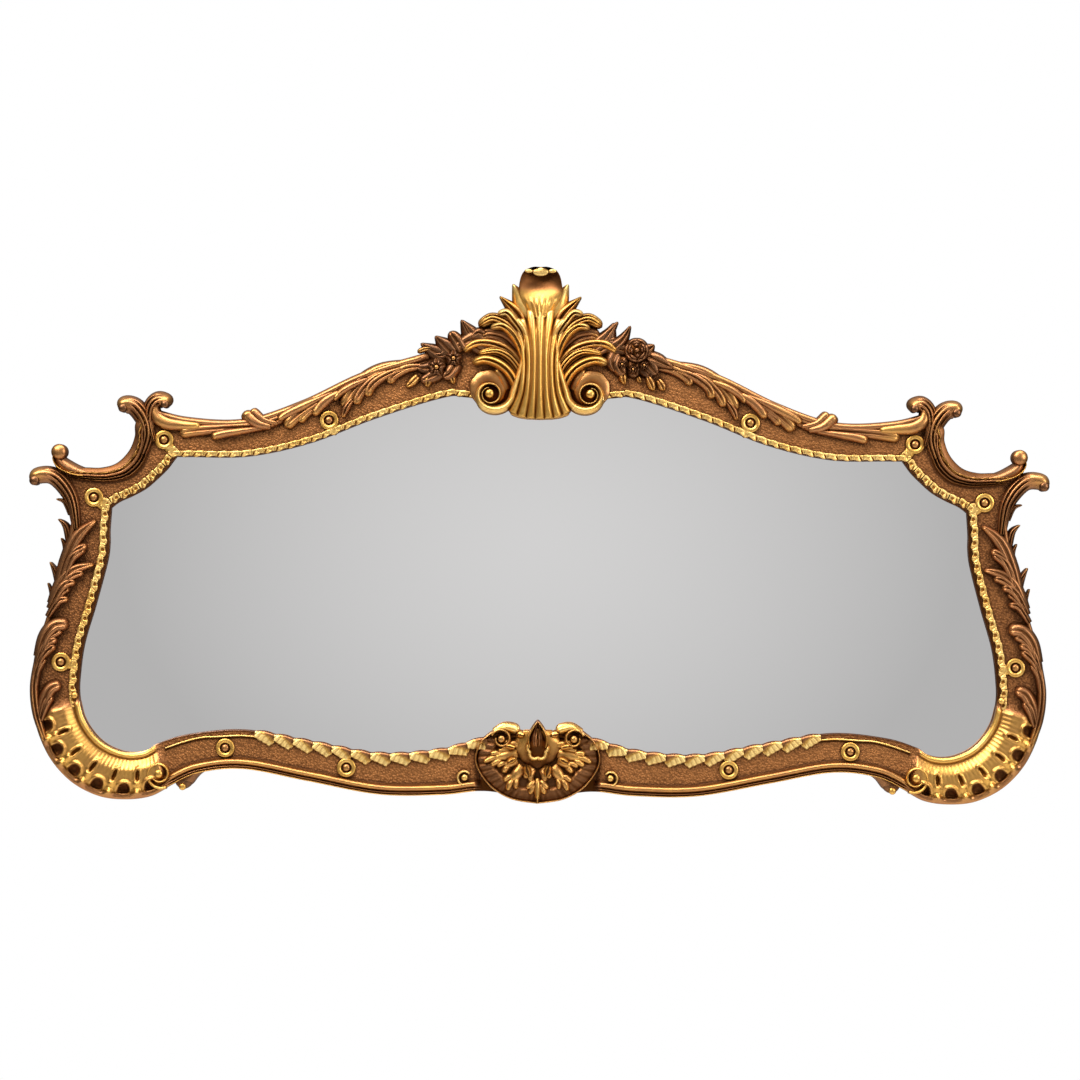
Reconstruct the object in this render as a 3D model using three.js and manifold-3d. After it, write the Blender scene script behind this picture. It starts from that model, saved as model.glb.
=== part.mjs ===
// A wide wall mirror in a carved and gilded rococo frame.
// The frame is one carving: rails, horned corners, shell corners, a leaf crest and a cartouche.
// Its back lies on the wall in the plane y = 0, its front faces -y, z is up and x runs to the right.
// The plan of the carving is drawn on squared paper: points are [out, up] in squares, with out counted
// from the upright centre line and up from mid height, and each point is drawn once for both halves.
import * as THREE from "three";
import { mergeVertices } from "three/addons/utils/BufferGeometryUtils.js";
import Module from "manifold-3d";

const wasm = await Module();
wasm.setup();

// Overall size of the frame, in millimetres, and the squares of the plan that it covers.
const WIDTH = 1500;
const HEIGHT = 790;
const PLAN_WIDTH = 1024;
const PLAN_HEIGHT = 539;
const SQUARE = WIDTH / PLAN_WIDTH;
const RISE = HEIGHT / PLAN_HEIGHT;

// Thicknesses, counted forward from the wall.
const BOARD_THICKNESS = 5;
const GLASS_THICKNESS = 4;
const CLEARANCE = 0.3;
const BAND_THICKNESS = 12;
const LIP_BACK = BOARD_THICKNESS + GLASS_THICKNESS + 2 * CLEARANCE;
const GROUND = LIP_BACK + BAND_THICKNESS;
const HORN_BACK = 5;
const OVERHANG_BACK = LIP_BACK + 3;

// How far the carving stands in front of the ground of the rails.
const ROLL_RELIEF = 10;
const EDGE_RELIEF = 5;
const LEAF_RELIEF = 12;
const HORN_RELIEF = 14;
const SHELL_RELIEF = 13;
const STUD_RELIEF = 4;
const CREST_RELIEF = 34;
const CARTOUCHE_RELIEF = 24;
const SPRAY_RELIEF = 24;

// The rebate that holds the glass reaches this far out from the sight edge.
const REBATE = 9;

// Keyhole hangers, let into the back of the top rail.
const HANGER = { out: 239, gap: 1.5, width: 16, height: 36, thickness: 2, corner: 3 };
const KEYHOLE = { headRadius: 4.6, slotRadius: 2.3, travel: 9, headRoom: 9 };
const HANGER_SCREW = { headRadius: 3.4, shankRadius: 1.6, headDepth: 1.8, length: 11, inset: 5 };
const SCREW_SIDES = 6;

const SIDES = [-1, 1];
const SIDE_NAMES = { [-1]: "left", 1: "right" };

// A point of the plan on one side, at a depth in front of the wall.
function at(side, [out, up], depth) {
  return [side * out * SQUARE, -depth, up * RISE];
}

// Rows of numbers read off a smooth curve through the drawn rows.
function smooth(rows, steps) {
  const made = [];
  for (let i = 0; i <= steps; i++) {
    const place = (i / steps) * (rows.length - 1);
    const k = Math.min(Math.floor(place), rows.length - 2);
    const t = place - k;
    const [a, b, c, d] = [-1, 0, 1, 2].map((j) => rows[Math.min(Math.max(k + j, 0), rows.length - 1)]);
    made.push(
      b.map((_, n) => {
        const straight = b[n] + (c[n] - b[n]) * t;
        const square = 2 * a[n] - 5 * b[n] + 4 * c[n] - d[n];
        const cube = 3 * b[n] - 3 * c[n] + d[n] - a[n];
        return rows.length < 3 ? straight : b[n] + ((c[n] - a[n]) * t + square * t * t + cube * t ** 3) / 2;
      }),
    );
  }
  return made;
}

// A skin over rings of equal count. An endless one closes on itself, and any other gets flat ends.
function loft(rings, endless = false) {
  const count = rings[0].length;
  const index = [];
  const spans = endless ? rings.length : rings.length - 1;
  for (let i = 0; i < spans; i++)
    for (let j = 0; j < count; j++) {
      const next = ((i + 1) % rings.length) * count;
      const [a, b] = [i * count + j, i * count + ((j + 1) % count)];
      const [c, d] = [next + j, next + ((j + 1) % count)];
      index.push(a, b, d, a, d, c);
    }
  for (let j = 1; !endless && j < count - 1; j++) {
    const end = (rings.length - 1) * count;
    index.push(0, j + 1, j, end, end + j, end + j + 1);
  }
  const geometry = new THREE.BufferGeometry();
  geometry.setAttribute("position", new THREE.BufferAttribute(new Float32Array(rings.flat(2)), 3));
  geometry.setIndex(index);
  return geometry;
}

// A closed geometry as a solid, turned to face outwards.
function solid(geometry) {
  const bare = new THREE.BufferGeometry().setAttribute("position", geometry.getAttribute("position"));
  bare.setIndex(geometry.index);
  const merged = mergeVertices(bare, 1e-4);
  const build = (triVerts) =>
    new wasm.Manifold(
      new wasm.Mesh({ numProp: 3, vertProperties: merged.attributes.position.array, triVerts }),
    );
  const triangles = new Uint32Array(merged.index.array);
  const made = build(triangles);
  return made.volume() > 0 ? made : build(triangles.reverse());
}

function join(solids) {
  return solids.reduce((whole, piece) => whole.add(piece));
}

// A flat sheet between two depths, from an outline in millimetres across and up.
function sheet(outline, back, front, holes = []) {
  const shape = new THREE.Shape(outline.map(([x, z]) => new THREE.Vector2(x, z)));
  shape.holes = holes.map((hole) => new THREE.Path(hole.map(([x, z]) => new THREE.Vector2(x, z))));
  return new THREE.ExtrudeGeometry(shape, { depth: front - back, bevelEnabled: false })
    .rotateX(Math.PI / 2)
    .translate(0, -back, 0);
}

// The rails, as stations from the crest round to the cartouche: [out, up] on the outer edge, then on the
// sight edge. The rails meet at corners, so each has a smooth run of its own.
const TOP_RAIL = [
  [0, 204, 0, 135],
  [84, 194, 71, 142.5],
  [118, 186, 98, 142],
  [179, 167, 167, 120],
  [239, 138.5, 229, 96],
  [296, 120, 291, 82],
  [354, 121.5, 349, 81],
  [392, 131.5, 364, 81],
];
const SCROLL_CORNER = [
  [392, 131.5, 364, 81],
  [405, 115.5, 367, 77],
  [406, 101.5, 373, 69],
  [412, 86.5, 382, 60],
  [424, 74.5, 394, 49.5],
  [439, 70, 408, 41.5],
  [455, 70, 421, 35.5],
  [483, 70, 429, 29.5],
];
const SIDE_RAIL = [
  [483, 70, 429, 29.5],
  [470, 25, 430.5, 7.5],
  [471, 2, 430.5, -7.5],
  [476, -25, 433, -25.5],
  [489, -67, 444, -67.5],
  [501, -108, 455.5, -108],
  [507, -151, 460, -145],
  [506, -174, 459.5, -163],
];
const SHELL_CORNER = [
  [506, -174, 459.5, -163],
  [500, -198, 455, -180],
  [487, -224, 446, -195],
  [466, -246, 434, -206.5],
  [439, -259.5, 419, -213.5],
  [412, -262.5, 405, -215.5],
  [387, -259, 392, -213],
  [367, -248, 382, -206.5],
];
const BOTTOM_RAIL = [
  [367, -248, 382, -206.5],
  [339, -235.5, 351, -197],
  [294, -231.5, 295, -192],
  [231, -243, 231, -202.5],
  [159, -256, 161, -214.5],
  [96, -256, 99, -210.5],
  [50, -252, 52, -198],
  [0, -262, 0, -190],
];

// The front of each rail from its outer edge, at 0, to its sight edge, at 1: [share, relief].
const PROFILES = {
  top: [[0, -7], [0.1, ROLL_RELIEF], [0.3, 0], [0.8, 0], [0.89, EDGE_RELIEF], [1, 0]],
  scroll: [[0, -7], [0.13, ROLL_RELIEF], [0.35, 3], [0.82, 0], [0.9, EDGE_RELIEF], [1, 0]],
  side: [[0, -7], [0.12, 6], [0.32, 0], [0.8, 0], [0.9, EDGE_RELIEF], [1, 0]],
  shell: [[0, -6], [0.1, 5], [0.5, 9], [0.8, 4], [0.9, 6], [1, 2]],
  bottom: [[0, -7], [0.08, 7], [0.32, 3], [0.8, 0], [0.9, EDGE_RELIEF], [1, 0]],
};
const RAILS = [
  { stations: TOP_RAIL, profile: PROFILES.top, steps: 9 },
  { stations: SCROLL_CORNER, profile: PROFILES.scroll, steps: 7 },
  { stations: SIDE_RAIL, profile: PROFILES.side, steps: 7 },
  { stations: SHELL_CORNER, profile: PROFILES.shell, steps: 8 },
  { stations: BOTTOM_RAIL, profile: PROFILES.bottom, steps: 7 },
];

// Every station of one half, each with its profile. Where two rails meet, they share the mean profile.
function halfStations() {
  const made = [];
  for (const { stations, profile, steps } of RAILS)
    smooth(stations, steps).forEach((row, i) => {
      const before = made.at(-1);
      if (i > 0 || !before) made.push({ row, profile });
      else before.profile = profile.map((point, n) => point.map((v, m) => (v + before.profile[n][m]) / 2));
    });
  return made;
}

// The stations all the way round, with the side that each is on.
function loopStations() {
  const half = halfStations();
  const left = half.map((station) => ({ side: -1, ...station }));
  const right = half.slice(1, -1).map((station) => ({ side: 1, ...station }));
  return [...left, ...right.reverse()];
}

// The point that lies a distance outside the sight edge, towards the outer edge.
function outsideSight({ side, row }, distance) {
  const [outer, inner] = [at(side, row.slice(0, 2), 0), at(side, row.slice(2), 0)];
  const way = [outer[0] - inner[0], outer[2] - inner[2]];
  const share = distance / Math.hypot(...way);
  return [inner[0] + way[0] * share, inner[2] + way[1] * share];
}

function railRing(station) {
  const { side, row, profile } = station;
  const across = (share) => [0, 1].map((n) => row[n] + (row[n + 2] - row[n]) * share);
  const rebate = outsideSight(station, REBATE);
  return [
    at(side, across(0), 0),
    ...profile.map(([share, relief]) => at(side, across(share), GROUND + relief)),
    at(side, across(1), LIP_BACK),
    [rebate[0], -LIP_BACK, rebate[1]],
    [rebate[0], 0, rebate[1]],
  ];
}

function rails() {
  return solid(loft(loopStations().map(railRing), true));
}

// The outline of what lies in the rebate.
function rebateOutline() {
  return loopStations().map((station) => outsideSight(station, REBATE - CLEARANCE));
}

// A carved tongue: rows of [out, up, half width] along its spine, from its foot to the ground plus relief.
// It swells from its root and is ridged along its spine. A full one has rounded shoulders.
const TONGUE_STEPS = 4;
function tongue(side, rows, relief = LEAF_RELIEF, foot = GROUND - 2, steps = TONGUE_STEPS, full = false) {
  const run = smooth(rows, steps);
  const rings = run.map(([out, up, half], i) => {
    const [before, after] = [run[Math.max(i - 1, 0)], run[Math.min(i + 1, steps)]];
    const way = [after[0] - before[0], after[1] - before[1]];
    const length = Math.hypot(...way);
    const beside = (offset) => [out - (way[1] / length) * offset, up + (way[0] / length) * offset];
    const swell = 0.55 + 0.45 * Math.sin((Math.PI * Math.min(1, 0.15 + (0.95 * i) / steps)));
    const ridge = GROUND + relief * swell;
    const shoulder = foot + (ridge - foot) * 0.62;
    const ring = [at(side, beside(half), foot), at(side, beside(0), ridge), at(side, beside(-half), foot)];
    if (full) {
      ring.splice(1, 0, at(side, beside(half * 0.9), shoulder));
      ring.splice(3, 0, at(side, beside(-half * 0.9), shoulder));
    }
    return ring;
  });
  return solid(loft(rings));
}

// A round boss: a stack of rings [radius in squares, depth] about a point of the plan, lobed if asked.
function boss(side, centre, rings, count = 10, lobe = 0) {
  const [x, , z] = at(side, centre, 0);
  const made = rings.map(([radius, depth]) =>
    Array.from({ length: count }, (_, j) => {
      const angle = (2 * Math.PI * j) / count;
      const r = radius * SQUARE * (j % 2 ? 1 - lobe : 1);
      return [x + r * Math.cos(angle), -depth, z + r * Math.sin(angle)];
    }),
  );
  return solid(loft(made));
}

// The horns of the upper corner: an upright one, its return, the inner scroll and the leafed horn.
const HORNS = [
  [[397, 86, 8], [394, 106, 8.5], [399, 122, 9], [410, 132, 9], [418, 133, 8], [424, 131, 5]],
  [[389, 98, 3], [390, 120, 6], [387, 134, 8], [380, 138, 8], [371, 136, 5]],
  [[451, 66, 5], [467, 69, 6], [477, 77, 6.5], [479, 86, 7]],
  [[464, 15, 5], [467, 34, 7], [475, 50, 8.5], [487, 61, 8.5], [500, 61, 8], [510.6, 57, 4]],
];
const HORN_KNOB = { centre: [479.5, 86], radius: 8 };
function horns(side) {
  const top = GROUND + HORN_RELIEF;
  const { centre, radius } = HORN_KNOB;
  return [
    ...HORNS.map((rows) => tongue(side, rows, HORN_RELIEF, HORN_BACK, 5, true)),
    boss(side, centre, [[radius, HORN_BACK], [radius, top - 5], [radius * 0.5, top]], 8),
  ];
}

// Pointed leaf ends that stand clear of the side rail.
const SPIKES = [
  [[470, 23, 3], [476, 35, 2], [484, 38, 0.6]],
  [[471, -10, 4.5], [473, 7, 3.5], [482, 16.5, 0.8]],
  [[473, -25, 4], [475, -13, 2.5], [478, -3, 0.8]],
  [[480, -55, 5], [483, -40, 4], [490, -27, 1]],
  [[486, -70, 4], [488, -59, 2.5], [492, -48, 0.8]],
];
function spikes(side) {
  return SPIKES.map((rows) => tongue(side, rows, 2, HORN_BACK, 2));
}

// The plumes that climb the side rail, as tongues that curl in over its ground.
const SIDE_PLUMES = [
  [[481, -55, 3], [473, -25, 4], [461, 0, 4], [443, 16, 1]],
  [[487, -70, 3], [477, -47, 4], [464, -34, 3.5], [445, -29, 1]],
  [[501, -123, 3.5], [494, -103, 4.5], [483, -91, 5], [469, -90, 4]],
  [[503, -145, 3], [498, -121, 3.5], [491, -108, 4], [480, -104, 3]],
  [[499, -185, 3.5], [494, -165, 4.5], [487, -153, 4.5], [476, -149, 3.5]],
  [[503, -123, 3], [505, -153, 4], [501, -183, 4], [490, -211, 2]],
];

// The long leaves that trail along the top rail.
const TOP_LEAVES = [
  [[239, 129.5, 2], [277, 114.5, 3.5], [314, 110.5, 3], [343, 108, 3.5], [361, 104, 3.5]],
  [[269, 111.5, 2], [282, 114.5, 3.5], [291, 121.5, 4], [296, 128, 3.5]],
  [[194, 155, 2], [224, 136.5, 3.5], [242, 124.5, 4], [254, 111.5, 3.5]],
  [[187, 152, 2], [205, 144, 3], [219, 134.5, 3], [226, 124.5, 2.5]],
  [[124, 178, 2], [159, 171, 3.5], [184, 154, 4.5], [196, 132, 4]],
];
function railLeaves(side) {
  return [...SIDE_PLUMES, ...TOP_LEAVES].map((rows) => tongue(side, rows, LEAF_RELIEF, GROUND - 2, 3));
}

// The ribs of a shell corner, each laid along a line from the sight edge to the outer edge.
const SHELL_RIBS = { count: 5, first: 1.25, pitch: 1.05, start: 0.84, end: 0.06 };
function shellRibs(side) {
  const stations = smooth(SHELL_CORNER, (SHELL_CORNER.length - 1) * 20);
  return Array.from({ length: SHELL_RIBS.count }, (_, k) => {
    const row = stations[Math.round((SHELL_RIBS.first + k * SHELL_RIBS.pitch) * 20)];
    const across = (share) => [0, 1].map((n) => row[n] + (row[n + 2] - row[n]) * share);
    const { start, end } = SHELL_RIBS;
    const rows = [[...across(start), 7], [...across((start + end) / 2), 5.5], [...across(end), 3.5]];
    return tongue(side, rows, SHELL_RELIEF, GROUND - 2, 2);
  });
}

// The studs on the ground, each a low round disc.
const STUDS = [[376, 98], [211, 118], [445, 40], [477, -125], [314, -210], [193, -230]];
const STUD_RADIUS = 8.7;
function studs(side) {
  const rings = [[STUD_RADIUS, GROUND - 1], [STUD_RADIUS - 1, GROUND + STUD_RELIEF]];
  return STUDS.map((centre) => boss(side, centre, rings, 8));
}

// The crest: a fluted trunk, a cupped shell above it, and leaves that fan out to both sides.
const CREST_TRUNK = [
  [121, 12, 0.35],
  [125, 25, 0.45],
  [131, 29, 0.55],
  [142, 23, 0.7],
  [158, 15, 0.85],
  [185, 14, 1],
  [215, 15, 0.95],
  [232, 20, 0.6],
  [250, 21, 0.55],
  [264, 17.5, 0.8],
  [273, 7, 1],
];
const TRUNK_FLUTES = 7;
function crestTrunk() {
  const rings = CREST_TRUNK.map(([up, half, share]) => {
    const front = Array.from({ length: TRUNK_FLUTES }, (_, j) => {
      const across = (2 * j) / (TRUNK_FLUTES - 1) - 1;
      const round = Math.sqrt(1 - 0.75 * across * across);
      const flute = j % 2 ? 1 : 0.86;
      return at(1, [across * half, up], OVERHANG_BACK + 4 + CREST_RELIEF * share * round * flute);
    });
    return [at(1, [-half, up], OVERHANG_BACK), ...front, at(1, [half, up], OVERHANG_BACK)];
  });
  return solid(loft(rings));
}

const CREST_LEAVES = [
  [[14, 128, 4], [19, 155, 5], [33, 173, 5], [48, 180, 4.5], [66, 178, 4]],
  [[11, 135, 4], [16, 165, 5.5], [29, 185, 6], [48, 194, 5.5], [73, 190, 4.5]],
  [[8, 145, 4], [12, 180, 6], [26, 204, 6.5], [46, 218, 6], [60, 215, 4.5]],
  [[6, 165, 3], [11, 195, 4.5], [23, 215, 4.5], [39, 224, 3]],
  [[10, 205, 4], [22, 228, 5], [39, 242.5, 0.8]],
  [[14, 220, 3.5], [23, 238, 4], [26, 255, 0.8]],
  [[43, 190, 6], [62, 200, 8], [78, 219, 1]],
];
const CREST_FULL_LEAVES = 3;
function crestLeaves(side) {
  return CREST_LEAVES.map((rows, n) => {
    const full = n < CREST_FULL_LEAVES;
    return tongue(side, rows, CREST_RELIEF * 0.72, OVERHANG_BACK, full ? 4 : 3, full);
  });
}

// A scroll of the crest: a band that winds in to an eye.
const VOLUTE = { centre: [49, 146], turn: 450, steps: 10, eye: 4.5 };
function volute(side) {
  const { centre, turn, steps, eye } = VOLUTE;
  const rows = Array.from({ length: steps + 1 }, (_, i) => {
    const degrees = (turn * i) / steps;
    const radius = 5.5 + 6.5 * (1 - degrees / 630) + 12 * Math.exp(-degrees / 55);
    const angle = THREE.MathUtils.degToRad(degrees);
    const half = 1.4 + 3.2 * Math.exp(-degrees / 150);
    return [centre[0] - radius * Math.cos(angle), centre[1] - radius * Math.sin(angle), half];
  });
  const relief = CREST_RELIEF * 0.5;
  const eyeRings = [[eye, GROUND], [eye, GROUND + relief * 0.6], [eye * 0.5, GROUND + relief * 0.9]];
  return [
    tongue(side, rows, relief, OVERHANG_BACK, steps),
    boss(side, centre, [[11, OVERHANG_BACK], [10, GROUND + 3]], 8),
    boss(side, centre, eyeRings, 8),
    tongue(side, [[33, 154, 5], [45, 163, 6], [58, 160, 6], [68, 150, 3]], 4, OVERHANG_BACK, 4),
  ];
}

// The sprays beside the crest: leaves and blossoms on the left, leaves and a rose on the right.
const SPRAYS = {
  [-1]: {
    leaves: [
      [[98, 183, 6], [109, 190, 5], [120, 196, 0.8]],
      [[90, 190, 6], [98, 198, 6], [106, 204, 0.8]],
      [[84, 195, 5], [90, 203, 4], [92, 208, 3]],
      [[104, 175, 4], [112, 160, 4], [112, 154, 2]],
      [[90, 172, 3], [88, 164, 4], [86, 157, 0.8]],
      [[108, 168, 4], [120, 168, 4], [130, 165, 0.8]],
      [[112, 164, 4], [121, 156, 4], [125, 151, 2]],
    ],
    blossoms: [[104, 173, 10], [89, 181, 9]],
  },
  1: {
    leaves: [
      [[60, 196, 6], [76, 203, 6], [90, 214, 0.8]],
      [[98, 190, 5], [102, 200, 4], [107, 214, 1]],
      [[104, 186, 6], [112, 190, 5], [119, 195, 0.8]],
      [[84, 178, 4], [85, 166, 4], [85, 158, 0.8]],
      [[98, 172, 4], [99, 165, 3], [100, 159, 1]],
      [[108, 172, 5], [113, 160, 4], [115, 153, 2]],
      [[114, 172, 5], [121, 162, 4], [126, 153, 2]],
    ],
    blossoms: [[97, 190, 14], [83, 180, 8], [112, 178, 8]],
  },
};
function sprays(side) {
  const { leaves, blossoms } = SPRAYS[side];
  const [middle, top] = [GROUND + SPRAY_RELIEF * 0.5, GROUND + SPRAY_RELIEF * 0.8];
  return [
    ...leaves.map((rows) => tongue(side, rows, SPRAY_RELIEF * 0.5, GROUND - 2, 2)),
    ...blossoms.map(([out, up, radius]) =>
      boss(side, [out, up], [[radius * 0.8, GROUND - 2], [radius, middle], [radius * 0.4, top]], 8, 0.16),
    ),
  ];
}

// The cartouche at the foot: a rimmed oval with a boss, leaves that ray from it, and a bud.
const CARTOUCHE_RIM = [
  [0, -263, 2.5],
  [25, -259, 2.5],
  [45, -248, 2.5],
  [58, -232, 2.5],
  [61, -218, 2.5],
  [55, -202, 3],
  [44, -192, 3.5],
  [32, -188.5, 4.5],
  [22, -191, 5],
];
const CARTOUCHE_LEAVES = [
  [[16, -212, 4], [30, -214, 5], [47, -218, 2]],
  [[14, -218, 4], [26, -226, 5], [36, -229, 2.5]],
  [[12, -222, 4], [22, -236, 6], [27, -249, 2.5]],
  [[8, -224, 4], [12, -235, 5], [14, -242, 3]],
];
const CARTOUCHE_TONGUE = [[0, -226, 4], [0, -244, 6], [0, -258, 4]];
const CARTOUCHE_BUD = [[0, -208, 6], [0, -197, 8], [0, -180.5, 1]];
const CARTOUCHE_CENTRE = [0, -212];
const RIM_STEPS = 8;
const CARTOUCHE_EYE = [35.5, -199];
function cartouche() {
  const rim = smooth(CARTOUCHE_RIM, RIM_STEPS);
  const outline = [-1, 1].flatMap((side) => {
    const points = rim.map(([out, up]) => at(side, [out, up], 0)).map(([x, , z]) => [x, z]);
    return side < 0 ? points : points.slice(1).reverse();
  });
  const top = GROUND + CARTOUCHE_RELIEF;
  const collar = [[18, GROUND], [17, GROUND + 12], [12, top - 2], [8, top - 7]];
  return [
    solid(sheet(outline, OVERHANG_BACK, GROUND + 4)),
    ...SIDES.flatMap((side) => [
      tongue(side, CARTOUCHE_RIM, 11, OVERHANG_BACK, RIM_STEPS),
      ...CARTOUCHE_LEAVES.map((rows) => tongue(side, rows, 15, GROUND, 2)),
      boss(side, CARTOUCHE_EYE, [[5, GROUND], [4, GROUND + 12]], 8),
    ]),
    tongue(1, CARTOUCHE_TONGUE, 15, GROUND),
    boss(1, CARTOUCHE_CENTRE, collar, 10),
    tongue(1, CARTOUCHE_BUD, CARTOUCHE_RELIEF, OVERHANG_BACK),
  ];
}

// The drop scroll under the bottom rail, next to the shell corner, and the curl at the rail's other end.
const DROP_SCROLL = [[324, -233, 3], [341, -240, 4], [351, -246, 4.5], [356, -250, 4]];
const RAIL_CURL = { centre: [72, -238], radius: 5.5 };
const SHELL_CURL = { centre: [379, -239], radius: 9 };
function curls(side) {
  const curl = ({ centre, radius }) =>
    boss(side, centre, [[radius, GROUND - 2], [radius * 0.85, GROUND + 9]], 10);
  return [tongue(side, DROP_SCROLL, 5, HORN_BACK, 3), curl(RAIL_CURL), curl(SHELL_CURL)];
}

// Shapes for the hangers, drawn in millimetres about the middle of the plate.
function roundedPlate(width, height, corner) {
  const [w, h] = [width / 2 - corner, height / 2 - corner];
  const corners = [[w, h, 0], [-w, h, 90], [-w, -h, 180], [w, -h, 270]];
  return corners.flatMap(([x, z, start]) =>
    [0, 45, 90].map((turn) => {
      const angle = THREE.MathUtils.degToRad(start + turn);
      return [x + corner * Math.cos(angle), z + corner * Math.sin(angle)];
    }),
  );
}

// A keyhole: a round hole for the head below, and a slot above it for the shank.
function keyhole() {
  const { headRadius, slotRadius, travel } = KEYHOLE;
  const below = -travel / 2;
  const opening = Math.asin(slotRadius / headRadius);
  const arc = (radius, from, to, z, count) =>
    Array.from({ length: count }, (_, i) => {
      const angle = from + ((to - from) * i) / (count - 1);
      return [radius * Math.cos(angle), z + radius * Math.sin(angle)];
    });
  const up = Math.PI / 2;
  return [
    ...arc(headRadius, up + opening, 2 * Math.PI + up - opening, below, 8),
    ...arc(slotRadius, 0, Math.PI, below + travel, 4),
  ];
}

// How high the edge of the backing board lies above a place across the frame.
function boardTop(x) {
  const outline = rebateOutline();
  const heights = outline.map(([x0, z0], i) => {
    const [x1, z1] = outline[(i + 1) % outline.length];
    return (x - x0) * (x - x1) > 0 ? -Infinity : z0 + ((z1 - z0) * (x - x0)) / (x1 - x0);
  });
  return Math.max(...heights);
}

// A hanger stands a gap above the edge of the backing board.
function hangerPlace(side) {
  const [x] = at(side, [HANGER.out, 0], 0);
  const reach = HANGER.width / 2 + HANGER.gap;
  const below = Math.max(boardTop(x - reach), boardTop(x + reach));
  return new THREE.Vector3(x, 0, below + HANGER.gap + HANGER.height / 2);
}

function screwHeights() {
  const reach = HANGER.height / 2 - HANGER_SCREW.inset;
  return [reach, -reach];
}

// A countersunk screw from the back, grown by a gap where it is used to cut its hole.
function screwGeometry(gap = 0) {
  const { headRadius, shankRadius, headDepth, length } = HANGER_SCREW;
  const rim = gap ? -1 : 0;
  const profile = [
    [0, rim],
    [headRadius + gap, rim],
    [headRadius + gap, 0.2],
    [shankRadius + gap, headDepth + 0.2],
    [shankRadius + gap, length + gap],
    [0, length + gap],
  ];
  const points = profile.map(([radius, depth]) => new THREE.Vector2(radius, depth));
  return new THREE.LatheGeometry(points, SCREW_SIDES).rotateX(Math.PI);
}

function hangerPlate() {
  const outline = roundedPlate(HANGER.width, HANGER.height, HANGER.corner);
  const plate = solid(sheet(outline, 0, HANGER.thickness, [keyhole()]));
  const holes = screwHeights().map((z) => solid(screwGeometry(CLEARANCE)).translate([0, 0, z]));
  return holes.reduce((whole, hole) => whole.subtract(hole), plate);
}

// What the hanger needs cut from the back of the frame: its bed, its screw holes and room for the head.
function hangerBed() {
  const { width, height, thickness, corner } = HANGER;
  const { headRadius, travel, headRoom } = KEYHOLE;
  const outline = roundedPlate(width + 2 * CLEARANCE, height + 2 * CLEARANCE, corner);
  const bed = solid(sheet(outline, -1, thickness + CLEARANCE));
  const room = roundedPlate(2 * headRadius + 2, travel + 2 * headRadius + 2, headRadius);
  const holes = screwHeights().map((z) => solid(screwGeometry(CLEARANCE)).translate([0, 0, z]));
  return join([bed, solid(sheet(room, 0, headRoom)), ...holes]);
}

function meshOf(name, body, material) {
  const { vertProperties, triVerts } = body.getMesh();
  const geometry = new THREE.BufferGeometry();
  geometry.setAttribute("position", new THREE.BufferAttribute(new Float32Array(vertProperties), 3));
  geometry.setIndex(new THREE.BufferAttribute(new Uint32Array(triVerts), 1));
  const mesh = new THREE.Mesh(geometry, material);
  mesh.name = name;
  return mesh;
}

const gilding = new THREE.MeshStandardMaterial({ color: 0xa9752c, roughness: 0.42, metalness: 0.8 });
const silvering = new THREE.MeshStandardMaterial({ color: 0xd8d8d8, roughness: 0.03, metalness: 1 });
const boardFinish = new THREE.MeshStandardMaterial({ color: 0x8a6a48, roughness: 0.85, metalness: 0 });
const steel = new THREE.MeshStandardMaterial({ color: 0xb8b6b0, roughness: 0.35, metalness: 1 });

function frame() {
  const carving = join([
    rails(),
    crestTrunk(),
    ...cartouche(),
    ...SIDES.flatMap((side) => [
      ...horns(side),
      ...spikes(side),
      ...railLeaves(side),
      ...shellRibs(side),
      ...studs(side),
      ...crestLeaves(side),
      ...volute(side),
      ...sprays(side),
      ...curls(side),
    ]),
  ]);
  const beds = SIDES.map((side) => hangerBed().translate(hangerPlace(side).toArray()));
  return beds.reduce((whole, bed) => whole.subtract(bed), carving);
}

const mirror = new THREE.Group();
mirror.add(meshOf("frame", frame(), gilding));

const glassBack = BOARD_THICKNESS + CLEARANCE;
const glass = sheet(rebateOutline(), glassBack, glassBack + GLASS_THICKNESS);
mirror.add(meshOf("mirror_glass", solid(glass), silvering));
mirror.add(meshOf("backing_board", solid(sheet(rebateOutline(), 0, BOARD_THICKNESS)), boardFinish));

for (const side of SIDES) {
  const hanger = new THREE.Group();
  hanger.position.copy(hangerPlace(side));
  hanger.add(meshOf(`hanger_${SIDE_NAMES[side]}`, hangerPlate(), steel));
  screwHeights().forEach((z, i) => {
    const screw = meshOf(`hanger_screw_${SIDE_NAMES[side]}_${i + 1}`, solid(screwGeometry()), steel);
    screw.position.z = z;
    hanger.add(screw);
  });
  mirror.add(hanger);
}

export default mirror;
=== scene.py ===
"""A wide wall mirror in a carved and gilded rococo frame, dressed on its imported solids.

The plan of the carving is drawn on squared paper: points are (out, up) in squares, out counted from the
upright centre line and up from mid height. Depths are in millimetres in front of the wall.
"""

import math

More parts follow.
